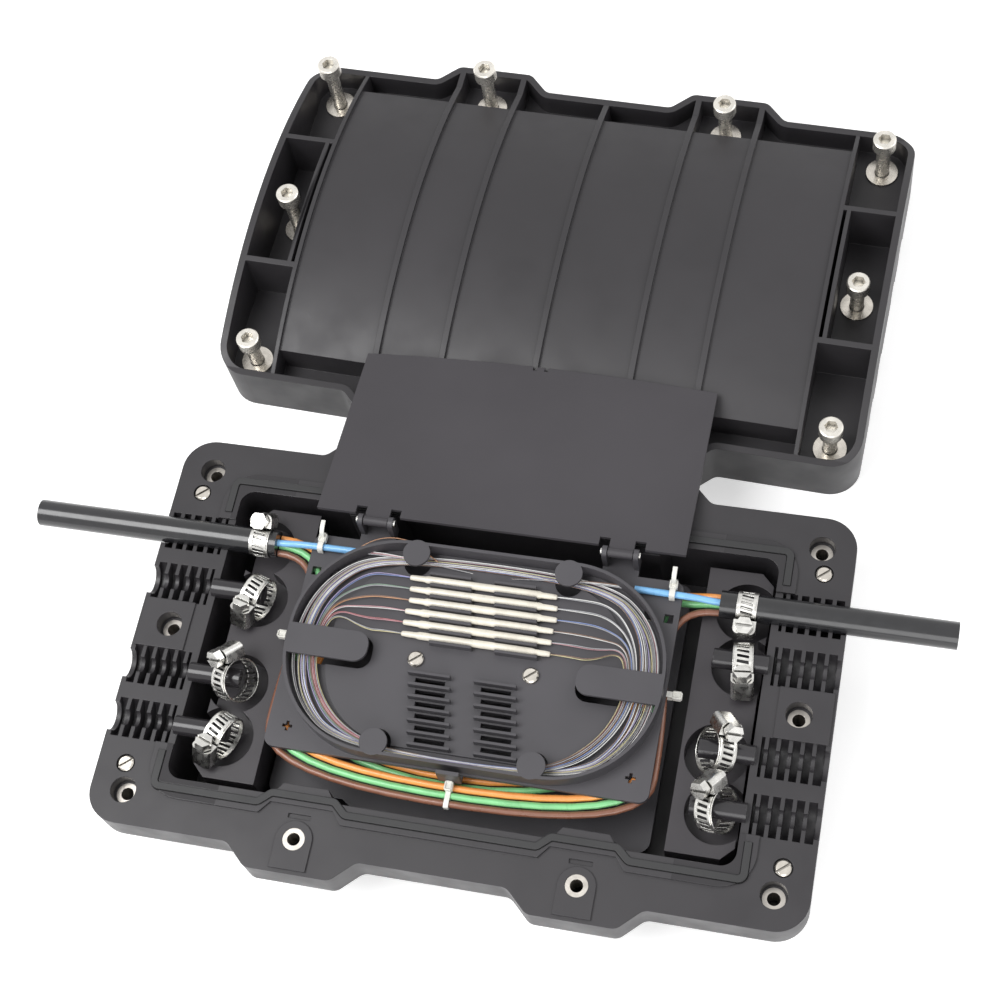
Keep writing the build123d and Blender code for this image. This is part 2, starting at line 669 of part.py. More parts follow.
def tray_lid():
    """A thin sheet with a bowed free edge and two knuckles, swung back until it meets the cover."""
    half = LID_L / 2
    sheet = make_face(
        Curve()
        + Line((-half, LID_START), (half, LID_START))
        + Line((half, LID_START), (half, LID_REACH - LID_BOW))
        + ThreePointArc((half, LID_REACH - LID_BOW), (0, LID_REACH), (-half, LID_REACH - LID_BOW))
        + Line((-half, LID_REACH - LID_BOW), (-half, LID_START))
    )
    notch_w = KNUCKLE_L + 2 * (2 * LUG_GAP + LUG_T + PIN_HEAD_T + CUT)
    for x in (-HINGE_X, HINGE_X):
        sheet -= Pos(x, LID_START) * Rectangle(notch_w, 2 * LID_NOTCH)
    for x in (-LATCH_W, LATCH_W):
        sheet -= Pos(x / 2, LID_REACH) * Rectangle(LATCH_W / 3, 2 * LATCH_D)
    lid = prism(sheet, -LID_T / 2, LID_T / 2)
    for x in (-HINGE_X, HINGE_X):
        x0, x1 = x - KNUCKLE_L / 2, x + KNUCKLE_L / 2
        lid += rod_x(x0, x1, 0, 0, KNUCKLE_R)
        lid += block(x0, x1, 0, LID_START + LID_NOTCH + CUT, -LID_T / 2, LID_T / 2)
        lid -= rod_x(x0 - CUT, x1 + CUT, 0, 0, PIN_R + PIN_FIT)
    return Pos(0, HINGE_Y, HINGE_Z) * Rot(-lid_droop(), 0, 0) * lid


def barrel(drop=0.0):
    """The cover's whole bulk under its arched top, seen along X as flat shoulders and an arc."""
    reach = BUMP_Y + CUT
    spring = SIDE_Y - WALL
    side_h = COVER_SIDE_H - drop
    low = -CUT
    outline = Curve()
    outline += Polyline((-spring, side_h), (-reach, side_h), (-reach, low), (reach, low), (reach, side_h))
    outline += Line((reach, side_h), (spring, side_h))
    outline += ThreePointArc((spring, side_h), (0, COVER_CROWN_H - drop), (-spring, side_h))
    face = make_face(Plane.YZ * outline)
    return Pos(-END_X - CUT, 0, 0) * extrude(face, LENGTH + 2 * CUT, dir=(1, 0, 0))


def cover_pockets():
    """The open pockets round the cover's edge, from their floors upwards."""
    top = COVER_CROWN_H + CUT
    end_in = ROOF_L / 2 + END_WALL_T
    walls = shell_outline(WALL)
    well = prism(walls, POCKET_FLOOR, top)
    keep = block(-end_in, end_in, -ROOF_W / 2, ROOF_W / 2, 0, top)
    for s in (-1, 1):
        x0, x1 = sorted((s * ROOF_L / 2, s * end_in))
        keep += block(x0, x1, -SIDE_Y, SIDE_Y, 0, top)
        x2, x3 = sorted((s * (end_in + END_GROOVE), s * (end_in + END_GROOVE + END_WALL_T)))
        keep += block(x2, x3, -DIVIDER_Y, DIVIDER_Y, 0, top)
        x4, x5 = sorted((s * ROOF_L / 2, s * END_X))
        for t in (-1, 1):
            y = t * DIVIDER_Y
            keep += block(x4, x5, y - DIVIDER_T / 2, y + DIVIDER_T / 2, 0, top)
    for x in RIB_X:
        keep += block(x - RIB_T / 2, x + RIB_T / 2, -BUMP_Y, BUMP_Y, 0, top)
    return well - keep


def roof_skim():
    """What is planed off the roof between its ribs, so that the ribs stand proud of it."""
    skim = barrel() - barrel(ROOF_DROP)
    skim &= block(-ROOF_L / 2, ROOF_L / 2, -ROOF_W / 2, ROOF_W / 2, POCKET_FLOOR, COVER_CROWN_H + CUT)
    for x in RIB_X:
        skim -= block(x - RIB_T / 2, x + RIB_T / 2, -SIDE_Y, SIDE_Y, POCKET_FLOOR, COVER_CROWN_H + CUT)
    return skim


def cover():
    """The moulded cover in its own frame, mouth down, before it is laid in place."""
    body = prism(shell_outline(), 0, COVER_CROWN_H + CUT) & barrel()
    body -= cover_pockets()
    body -= roof_skim()
    dome = barrel(ROOF_DROP + ROOF_T) & block(
        -ROOF_L / 2 + WALL, ROOF_L / 2 - WALL, -ROOF_W / 2 + WALL, ROOF_W / 2 - WALL, LIP_T, COVER_CROWN_H
    )
    body -= dome
    body -= prism(tub_plan(), -CUT, LIP_T + CUT)
    under = prism(shell_outline(WALL), 0, POCKET_FLOOR - POCKET_T)
    under -= prism(land_plan(WALL), 0, POCKET_FLOOR)
    under -= block(-ROOF_L / 2, ROOF_L / 2, -ROOF_W / 2, ROOF_W / 2, 0, POCKET_FLOOR)
    under -= port_beds(0, POCKET_FLOOR)
    for x, y in BOLTS:
        under -= post(x, y, 0, POCKET_FLOOR, BOSS_R)
    body -= under
    body -= prism(land_plan(RECESS_CLEAR), -CUT, LAND_H + RECESS_CLEAR)
    flip = Pos(0, 0, RIM_Z) * Rot(180, 0, 0)
    for side in (-1, 1):
        for y in PORT_YS:
            body -= flip * port_cut(side, -y, port_notch(side, y))
    for x, y in BOLTS:
        body -= post(x, y, -CUT, POCKET_FLOOR + CUT, BOLT_CLEAR_R)
    return body


def laid(piece):
    """Moves a piece from the cover's own frame to where the cover lies."""
    return Pos(COVER_X, COVER_Y, 0) * Rot(0, 0, COVER_TURN) * piece


def bolt_places():
    """The cover's bolts that are in their holes: the lid lies where the two near side ones would be."""
    return [(x, y) for x, y in BOLTS if not ((x, y) in SIDE_BOLTS and y < 0)]


def cover_bolt(x, y):
    """A socket-head bolt in its hole with its tip level with the cover's rim."""
    head = post(x, y, BOLT_L, BOLT_L + BOLT_HEAD_H, BOLT_HEAD_R)
    head = chamfer(head.faces().sort_by(Axis.Z)[-1].edges(), CUT / 2)
    socket = prism(Pos(x, y) * RegularPolygon(BOLT_SOCKET / 2, 6, major_radius=False), 0, BOLT_SOCKET_DEPTH)
    head -= Pos(0, 0, BOLT_L + BOLT_HEAD_H - BOLT_SOCKET_DEPTH) * socket
    return head + post(x, y, 0, BOLT_L, BOLT_R)


def washer(x, y):
    """A plain washer on a pocket's floor."""
    disc = post(x, y, POCKET_FLOOR, POCKET_FLOOR + WASHER_T, WASHER_R)
    return disc - post(x, y, 0, POCKET_FLOOR + 2 * WASHER_T, BOLT_R + WASHER_FIT)


# Each clamp: end, distance from the tub's end wall, port y, inner radius, turn of the screw's
# housing about the cable, lean, swing, and the screw's way round
TIGHT_R = CABLE_R + CABLE_FIT
CLAMPS = [
    (-1, 13.5, PORT_OUTER_Y, TIGHT_R, -62.0, 0.0, 0.0, 0.0),
    (-1, 16.0, PORT_INNER_Y, LOOSE_R, 64.0, 0.0, -16.0, 180.0),
    (-1, 17.0, -PORT_INNER_Y, LOOSE_R, -38.0, -30.0, -12.0, 0.0),
    (-1, 16.5, -PORT_OUTER_Y, LOOSE_R, 64.0, 0.0, -20.0, 180.0),
    (1, 10.0, PORT_OUTER_Y, TIGHT_R, 98.0, 0.0, 0.0, 180.0),
    (1, 8.5, PORT_INNER_Y, LOOSE_R, 64.0, 0.0, 6.0, 180.0),
    (1, 13.5, -PORT_INNER_Y, LOOSE_R, -42.0, 32.0, 12.0, 0.0),
    (1, 10.0, -PORT_OUTER_Y, LOOSE_R, -38.0, -30.0, -10.0, 0.0),
]


def clamp_drop(bore, lean):
    """How far a loose clamp hangs below the port's axis: its bore rests on the spigot."""
    if bore == TIGHT_R:
        return 0.0
    slope = radians(abs(lean))
    return bore * cos(slope) - BAND_W / 2 * sin(slope) - SPIGOT_R - HANG_CLEAR


def clamp_place(spec):
    """Where a clamp lies: tight and level on a cable, or loose and askew round a spigot."""
    side, inset, y, bore, turn, lean, swing, way = spec
    place = Pos(side * (TUB_END - inset), y, RIM_Z - clamp_drop(bore, lean))
    return place * Rot(0, 0, swing) * Rot(0, lean, 0) * Rot(turn, 0, 0) * Rot(0, 0, way)


def clamp_band(spec):
    """The band's closed ring with its free tail, centred on the cable, its screw on top."""
    bore = spec[3]
    outer = bore + BAND_T
    ring = Cylinder(outer, BAND_W) - Cylinder(bore, BAND_W + CUT)
    tail_sweep = CenterArc((0, 0), outer + BAND_T / 2, 90 + degrees(HOUSING_L / 2 / outer), TAIL_TURN)
    tail = extrude(trace(tail_sweep, BAND_T), BAND_W / 2 - CUT / 2, both=True)
    return clamp_place(spec) * Rot(0, 90, 0) * Rot(0, 0, 90) * (ring + tail)


def worm_height(spec):
    """The height of the screw's axis above the band's centre."""
    return spec[3] + 2 * BAND_T + WORM_R + WORM_LIFT


def clamp_housing(spec):
    """The saddle on the band that the screw turns in."""
    z = worm_height(spec)
    low = spec[3] + BAND_T
    shell = block(-HOUSING_W / 2, HOUSING_W / 2, -HOUSING_L / 2, HOUSING_L / 2, low, z + HOUSING_H / 2)
    along = shell.edges().filter_by(Axis.Y).sort_by(Axis.Z)[-2:]
    shell = fillet(along, HOUSING_R)
    shell -= Rot(0, 90, 0) * Cylinder(spec[3] + BAND_T, HOUSING_W + CUT)
    tunnel = Pos(0, 0, z) * Rot(90, 0, 0) * Cylinder(WORM_R + WORM_FIT, HOUSING_L + CUT)
    tail_space = Rot(0, 90, 0) * Cylinder(spec[3] + 2 * BAND_T, BAND_W - CUT)
    return clamp_place(spec) * (shell - tunnel - tail_space)


def clamp_screw(spec):
    """The worm screw with a slotted hexagon head."""
    z = worm_height(spec)
    start = -HOUSING_L / 2 - CUT / 2
    shank = Pos(0, start + WORM_L / 2, z) * Rot(90, 0, 0) * Cylinder(WORM_R, WORM_L)
    hexagon = extrude(RegularPolygon(WORM_HEAD / 2, 6, major_radius=False), WORM_HEAD_T)
    head = Pos(0, start, z) * Rot(90, 0, 0) * hexagon
    head -= Pos(0, start - WORM_HEAD_T, z) * Box(WORM_HEAD + CUT, WORM_SLOT * 2, WORM_SLOT)
    return clamp_place(spec) * (shank + head)


def cable(side, out_length):
    """A straight length of jacketed cable through the outer port, gripped by its clamp."""
    x0, x1 = sorted((side * (TUB_END - CABLE_IN_L), side * (END_X + out_length)))
    return rod_x(x0, x1, CABLE_Y, RIM_Z, CABLE_R)


def tube(points, radii):
    """A buffer tube along straight runs joined by tangent arcs."""
    line = FilletPolyline(*points, radius=radii)
    return sweep(Plane(origin=line @ 0, z_dir=line % 0) * Circle(TUBE_R), line)


def blue_tube(side):
    """A cut tube from the cable's end onto the tray's corner, stopping at the oval wall."""
    x_in = side * (TUB_END - CABLE_IN_L)
    z = TRAY_Z + TRAY_FLOOR + TUBE_R
    x_end = side * (TRAY_L / 2 - TUBE_END_INSET)
    points = [(x_in, CABLE_Y, RIM_Z + TUBE_R), (x_in - side * TUBE_NEST, CABLE_Y, RIM_Z + TUBE_R)]
    points += [(side * (TRAY_L / 2 + TUBE_NEST), CABLE_Y, z), (x_end, CABLE_Y, z)]
    return tube(points, TUBE_NEST)


def uncut_side(row):
    """How far from the middle an uncut tube runs down beside the tray."""
    return TRAY_L / 2 + TUBE_SIDE_OUT - row * TUBE_NEST


def uncut_half(row):
    """The left half of an uncut tube's first pass: from the cable's end, down the side, to the front."""
    x_in = TUB_END - CABLE_IN_L - TUBE_FIT
    x_side = uncut_side(row)
    y_in = CABLE_Y + (row - 1) * TUBE_NEST
    y_near = -TUB_SIDE + TUBE_FRONT_GAP + row * TUBE_NEST
    z = TRAY_Z - TUBE_R - TUBE_FIT
    half = [(-x_in, y_in, z), (-x_side + TUBE_ENTRY_IN, y_in, z), (-x_side, TUBE_BULGE_Y, z)]
    return half + [(-x_side + TUBE_SIDE_OUT, y_near, z)]


def uncut_tube(row):
    """A tube that passes from one cable to the other in a level loop under the tray and before it."""
    left = uncut_half(row)
    right = [(-x, y, z) for x, y, z in reversed(left)]
    arc = OVAL_R - row * TUBE_NEST
    return tube(left + right, [TUBE_TURN, arc, arc / 2, arc / 2, arc, TUBE_TURN])


def looped_tube(row):
    """A tube that goes round once more, inside and below its first pass, before it leaves."""
    first = uncut_half(row)
    x_in, y_in, z = -first[0][0], first[0][1], first[0][2]
    low = z - 2 * TUBE_R - 2 * TUBE_FIT
    x_side = uncut_side(row)
    x_loop = x_side - LOOP_IN
    front = first[3][1] + LOOP_FRONT
    back = CABLE_Y - LOOP_BACK - row * TUBE_NEST
    arc = OVAL_R - row * TUBE_NEST
    drop_x = x_loop - LOOP_RUN
    points = first + [(-first[3][0], first[3][1], z), (x_side, TUBE_BULGE_Y, z)]
    points += [(x_side - TUBE_ENTRY_IN, back, z)]
    points += [(drop_x, back, z), (drop_x - LOOP_RUN, back, low), (-x_loop, back, low)]
    points += [(-x_loop, front, low), (x_loop, front, low), (x_loop, y_in, low)]
    points += [(x_loop + LOOP_RUN, y_in, low), (x_in - TUBE_NEST, y_in, z), (x_in, y_in, z)]
    radii = [TUBE_TURN, arc, arc / 2, arc / 2, arc, TUBE_TURN, LOOP_BEND, LOOP_BEND, LOOP_TURN]
    radii += [LOOP_TURN, LOOP_TURN, TUBE_TURN, LOOP_BEND, LOOP_BEND]
    return tube(points, radii)


def fibre_coil():
    """The coiled spare fibre, lying on the tray's floor along the oval wall."""
    oval = Pos(0, TRAY_Y) * RectangleRounded(OVAL_L, OVAL_W, OVAL_R)
    outer = offset(oval, -TRAY_WALL - COIL_GAP)
    band = outer - offset(outer, -COIL_W)
    return prism(band, TRAY_Z + TRAY_FLOOR, TRAY_Z + TRAY_FLOOR + COIL_H)


def fibre_fan(side):
    """The fibres that spread over the raised middle to one end of the sleeves."""
    seat = TRAY_Z + TRAY_FLOOR + PLATEAU_H
    near = SLEEVE_L / 2 + SLEEVE_R
    far = PLATEAU_L / 2 - COIL_W
    half = SLEEVE_COUNT * SLEEVE_PITCH / 2
    skew = near + COMB_LEAN * SLEEVE_COUNT / 2
    corners = [(side * skew, SLEEVE_Y + half), (side * skew, SLEEVE_Y - half)]
    corners += [(side * far, TRAY_Y - WIDE_TAB_W), (side * far, TRAY_Y + WIDE_TAB_W)]
    return prism(make_face(Polyline(*corners, close=True)), seat, seat + FAN_T)


def splice_sleeves():
    """Six protection sleeves that lie in the rear combs."""
    seat = TRAY_Z + TRAY_FLOOR + PLATEAU_H
    group = []
    for i in range(SLEEVE_COUNT):
        row = i - (SLEEVE_COUNT - 1) / 2
        x = -row * COMB_LEAN
        y = SLEEVE_Y + row * SLEEVE_PITCH
        group.append(rod_x(x - SLEEVE_L / 2, x + SLEEVE_L / 2, y, seat + SLEEVE_R, SLEEVE_R))
    return group


def tube_ties():
    """Cable ties that hold the blue tubes down on the tray's corners."""
    group = []
    z = TRAY_Z + TRAY_FLOOR + TUBE_R
    for side in (-1, 1):
        x = side * (TRAY_L / 2 - TIE_HEAD)
        inner = TUBE_R + TIE_FIT
        ring = rod_x(x - TIE_W / 2, x + TIE_W / 2, CABLE_Y, z, TUBE_R + TIE_T)
        ring -= block(x - TIE_W, x + TIE_W, 0, SIDE_Y, TRAY_Z, TRAY_Z + TRAY_FLOOR)
        ring -= rod_x(x - TIE_W, x + TIE_W, CABLE_Y, z, inner)
        ring -= block(x - TIE_W, x + TIE_W, CABLE_Y - inner, CABLE_Y + inner, TRAY_Z, z)
        head_y = CABLE_Y + inner
        head = block(x - TIE_W, x + TIE_W, head_y, head_y + TIE_HEAD, z - TUBE_R, z + TUBE_R)
        group.append(ring + head)
    return group


NODES = {}


def build_all():
    """Every node by name, as a solid or a list of separate solids."""
    NODES["base_shell"] = base_shell()
    NODES["threaded_inserts"] = threaded_inserts()
    NODES["sealing_cords"] = sealing_cords()
    NODES["corner_screws"] = [
        small_screw(x, y, RIM_Z - SMALL_RECESS, SMALL_SCREW_L) for x, y in corner_screw_places()
    ]
    NODES["anchor_rail_left"] = anchor_rail(LEFT_RAIL_X, -1)
    NODES["anchor_rail_right"] = anchor_rail(RIGHT_RAIL_X, 1)
    NODES["tray_bracket"] = tray_bracket()
    NODES["bracket_screws"] = [
        small_screw(x, y, BRACKET_TOP, SMALL_SCREW_L) for x, y in bracket_screw_places()
    ]
    NODES["splice_tray"] = tray()
    NODES["tray_screws"] = [
        small_screw(s * STANDOFF_X, STANDOFF_Y, TRAY_Z + TRAY_FLOOR + PLATEAU_H, SMALL_SCREW_L + WALL)
        for s in (-1, 1)
    ]
    NODES["hinge_pins"] = hinge_pins()
    NODES["tray_lid"] = tray_lid()
    NODES["splice_sleeves"] = splice_sleeves()
    NODES["fibre_coil"] = fibre_coil()
    NODES["fibre_fan_left"] = fibre_fan(-1)
    NODES["fibre_fan_right"] = fibre_fan(1)
    NODES["blue_tube_left"] = blue_tube(-1)
    NODES["blue_tube_right"] = blue_tube(1)
    NODES["brown_tube"] = uncut_tube(0)
    NODES["green_tube"] = looped_tube(1)
    NODES["orange_tube"] = looped_tube(2)
    NODES["tube_ties"] = tube_ties()
    NODES["cover"] = laid(cover())
    NODES["cover_bolts"] = [
        laid(Pos(0, 0, lift) * cover_bolt(x, y)) for (x, y), lift in zip(bolt_places(), BOLT_LIFTS)
    ]
    NODES["cover_washers"] = [laid(washer(x, y)) for x, y in BOLTS]
    NODES["cable_left"] = cable(-1, CABLE_OUT_LEFT)
    NODES["cable_right"] = cable(1, CABLE_OUT_RIGHT)
    for number, spec in enumerate(CLAMPS, start=1):
        NODES[f"clamp_band_{number}"] = clamp_band(spec)
        NODES[f"clamp_housing_{number}"] = clamp_housing(spec)
        NODES[f"clamp_screw_{number}"] = clamp_screw(spec)
    return NODES


os.makedirs("parts", exist_ok=True)
for name, piece in build_all().items():
    shape = Compound(children=piece) if isinstance(piece, list) else piece
    export_step(shape, f"parts/{name}.step")
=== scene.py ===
import json
import math
import random

import bmesh
import bpy
from mathutils import Matrix, Vector


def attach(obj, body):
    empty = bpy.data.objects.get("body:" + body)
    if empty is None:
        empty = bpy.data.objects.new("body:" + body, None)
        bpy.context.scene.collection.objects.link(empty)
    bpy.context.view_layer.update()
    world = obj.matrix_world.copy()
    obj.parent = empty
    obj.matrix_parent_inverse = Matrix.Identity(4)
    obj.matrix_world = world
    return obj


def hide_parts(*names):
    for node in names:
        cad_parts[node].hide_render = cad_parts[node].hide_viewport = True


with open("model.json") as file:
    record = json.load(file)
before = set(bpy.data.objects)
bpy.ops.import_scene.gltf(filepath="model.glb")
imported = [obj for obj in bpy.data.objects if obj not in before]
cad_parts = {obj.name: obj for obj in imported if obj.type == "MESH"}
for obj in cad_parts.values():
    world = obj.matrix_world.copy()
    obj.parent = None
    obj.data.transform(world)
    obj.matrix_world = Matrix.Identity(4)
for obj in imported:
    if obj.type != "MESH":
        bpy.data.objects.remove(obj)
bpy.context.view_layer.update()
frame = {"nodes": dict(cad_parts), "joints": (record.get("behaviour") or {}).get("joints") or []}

MM = 0.001
BODY = "closure"
SEED = 7
SIDES = {"left": -1, "right": 1}
IN_PLACE = Matrix.Identity(4)

# The photograph's view: where the camera stands round the target, in degrees, and its lens
AZIMUTH = 25.36
ELEVATION = 63.56
ROLL = -15.72
TARGET = Vector((-4.3, 73.3, 40.0)) * MM
DISTANCE = 802.2 * MM
LENS_PER_SENSOR = 1.967
SENSOR = 36.0
CLIP_START = 10 * MM

# Light: the strength of the sky, and each lamp's place and size in metres and its power
SKY = 0.44
LAMPS = {
    "key": ((-0.55, -0.25, 1.1), 0.8, 10.5),
    "fill": ((0.8, 0.6, 0.9), 0.9, 3.0),
    "front": ((0.35, -1.25, 0.75), 1.1, 7.5),
}
# The floor: its size in metres, its own grey, and the glow that whitens it for the camera
FLOOR_SIZE = 6.0
FLOOR_GREY = 0.9
FLOOR_ROUGH = 0.9
FLOOR_GLOW = 0.52
WHITE = (1, 1, 1, 1)

# Colours as the photograph shows them, in linear light
SHELL_BLACK = (0.0275, 0.0255, 0.0285)
TRAY_GREY = (0.062, 0.059, 0.066)
RAIL_GREY = (0.040, 0.036, 0.041)
LID_GREY = (0.050, 0.0465, 0.052)
JACKET_BLACK = (0.016, 0.016, 0.018)
RUBBER_BLACK = (0.022, 0.022, 0.023)
BRIGHT_STEEL = (0.72, 0.71, 0.68)
NICKEL = (0.66, 0.62, 0.56)
BOLT_NICKEL = (0.78, 0.75, 0.69)
INSERT_NICKEL = (0.52, 0.49, 0.45)
SLEEVE_CREAM = (0.84, 0.79, 0.68)
TUBE_BLUE = (0.24, 0.55, 0.92)
TUBE_GREEN = (0.24, 0.66, 0.28)
TUBE_ORANGE = (0.95, 0.36, 0.09)
TUBE_BROWN = (0.24, 0.10, 0.06)
TIE_WHITE = (0.82, 0.81, 0.76)
FIBRE_COLOURS = {
    "white": (0.80, 0.80, 0.78),
    "grey": (0.40, 0.40, 0.42),
    "rose": (0.55, 0.30, 0.33),
    "yellow": (0.72, 0.66, 0.38),
    "blue": (0.20, 0.27, 0.52),
    "violet": (0.36, 0.32, 0.52),
    "orange": (0.62, 0.33, 0.18),
    "green": (0.24, 0.34, 0.26),
    "brown": (0.24, 0.15, 0.11),
    "red": (0.42, 0.16, 0.17),
}


def link(obj):
    """Puts an object into the scene."""
    bpy.context.scene.collection.objects.link(obj)


def camera():
    """The photograph's camera."""
    az, el, roll = (math.radians(a) for a in (AZIMUTH, ELEVATION, ROLL))
    back = Vector((math.sin(az) * math.cos(el), -math.cos(az) * math.cos(el), math.sin(el)))
    right = (-back).cross(Vector((0, 0, 1))).normalized()
    up = right.cross(-back)
    tilted_right = right * math.cos(roll) + up * math.sin(roll)
    tilted_up = up * math.cos(roll) - right * math.sin(roll)
    data = bpy.data.cameras.new("camera")
    data.sensor_fit = "HORIZONTAL"
    data.sensor_width = SENSOR
    data.lens = LENS_PER_SENSOR * SENSOR
    data.clip_start = CLIP_START
    obj = bpy.data.objects.new("camera", data)
    turn = Matrix((tilted_right, tilted_up, back)).transposed().to_4x4()
    obj.matrix_world = Matrix.Translation(TARGET + back * DISTANCE) @ turn
    link(obj)
    bpy.context.scene.camera = obj
    bpy.context.scene.view_settings.view_transform = "Standard"


def lamps():
    """Soft round lamps aimed at the object."""
    for name, (place, size, power) in LAMPS.items():
        data = bpy.data.lights.new(name, "AREA")
        data.shape = "DISK"
        data.size = size
        data.energy = power
        obj = bpy.data.objects.new(name, data)
        obj.location = place
        obj.rotation_euler = (Vector(place) - TARGET).to_track_quat("Z", "Y").to_euler()
        link(obj)


def seen_directly(nodes, links):
    """One where a camera, glossy or transmission ray arrives, else nought."""
    path = nodes.new("ShaderNodeLightPath")
    first = nodes.new("ShaderNodeMath")
    first.operation = "MAXIMUM"
    both = nodes.new("ShaderNodeMath")
    both.operation = "MAXIMUM"
    links.new(path.outputs["Is Camera Ray"], first.inputs[0])
    links.new(path.outputs["Is Glossy Ray"], first.inputs[1])
    links.new(first.outputs[0], both.inputs[0])
    links.new(path.outputs["Is Transmission Ray"], both.inputs[1])
    return both.outputs[0]


def sky():
    """An even pale sky that the camera, metal and glass see as white."""
    world = bpy.data.worlds.new("sky")
    bpy.context.scene.world = world
    world.use_nodes = True
    nodes, links = world.node_tree.nodes, world.node_tree.links
    nodes.clear()
    mix = nodes.new("ShaderNodeMixShader")
    links.new(seen_directly(nodes, links), mix.inputs[0])
    for socket, strength in ((1, SKY), (2, 1.0)):
        shade = nodes.new("ShaderNodeBackground")
        shade.inputs["Strength"].default_value = strength
        shade.inputs["Color"].default_value = WHITE
        links.new(shade.outputs[0], mix.inputs[socket])
    out = nodes.new("ShaderNodeOutputWorld")
    links.new(mix.outputs[0], out.inputs["Surface"])


def floor():
    """A pale floor that reads as white to the camera and keeps the object's shadow."""
    bpy.ops.mesh.primitive_plane_add(size=FLOOR_SIZE, location=(0, 0, 0))
    obj = bpy.context.object
    obj.name = "floor"
    material = bpy.data.materials.new("floor_white")
    material.use_nodes = True
    nodes, links = material.node_tree.nodes, material.node_tree.links
    shader = nodes["Principled BSDF"]
    shader.inputs["Base Color"].default_value = (FLOOR_GREY, FLOOR_GREY, FLOOR_GREY, 1)
    shader.inputs["Roughness"].default_value = FLOOR_ROUGH
    shader.inputs["Specular IOR Level"].default_value = 0.0
    mix = nodes.new("ShaderNodeMixShader")
    links.new(seen_directly(nodes, links), mix.inputs[0])
    for socket, strength in ((1, 0.0), (2, FLOOR_GLOW)):
        glow = nodes.new("ShaderNodeEmission")
        glow.inputs["Strength"].default_value = strength
        links.new(glow.outputs[0], mix.inputs[socket])
    total = nodes.new("ShaderNodeAddShader")
    links.new(shader.outputs[0], total.inputs[0])
    links.new(mix.outputs[0], total.inputs[1])
    links.new(total.outputs[0], nodes["Material Output"].inputs["Surface"])
    obj.data.materials.append(material)


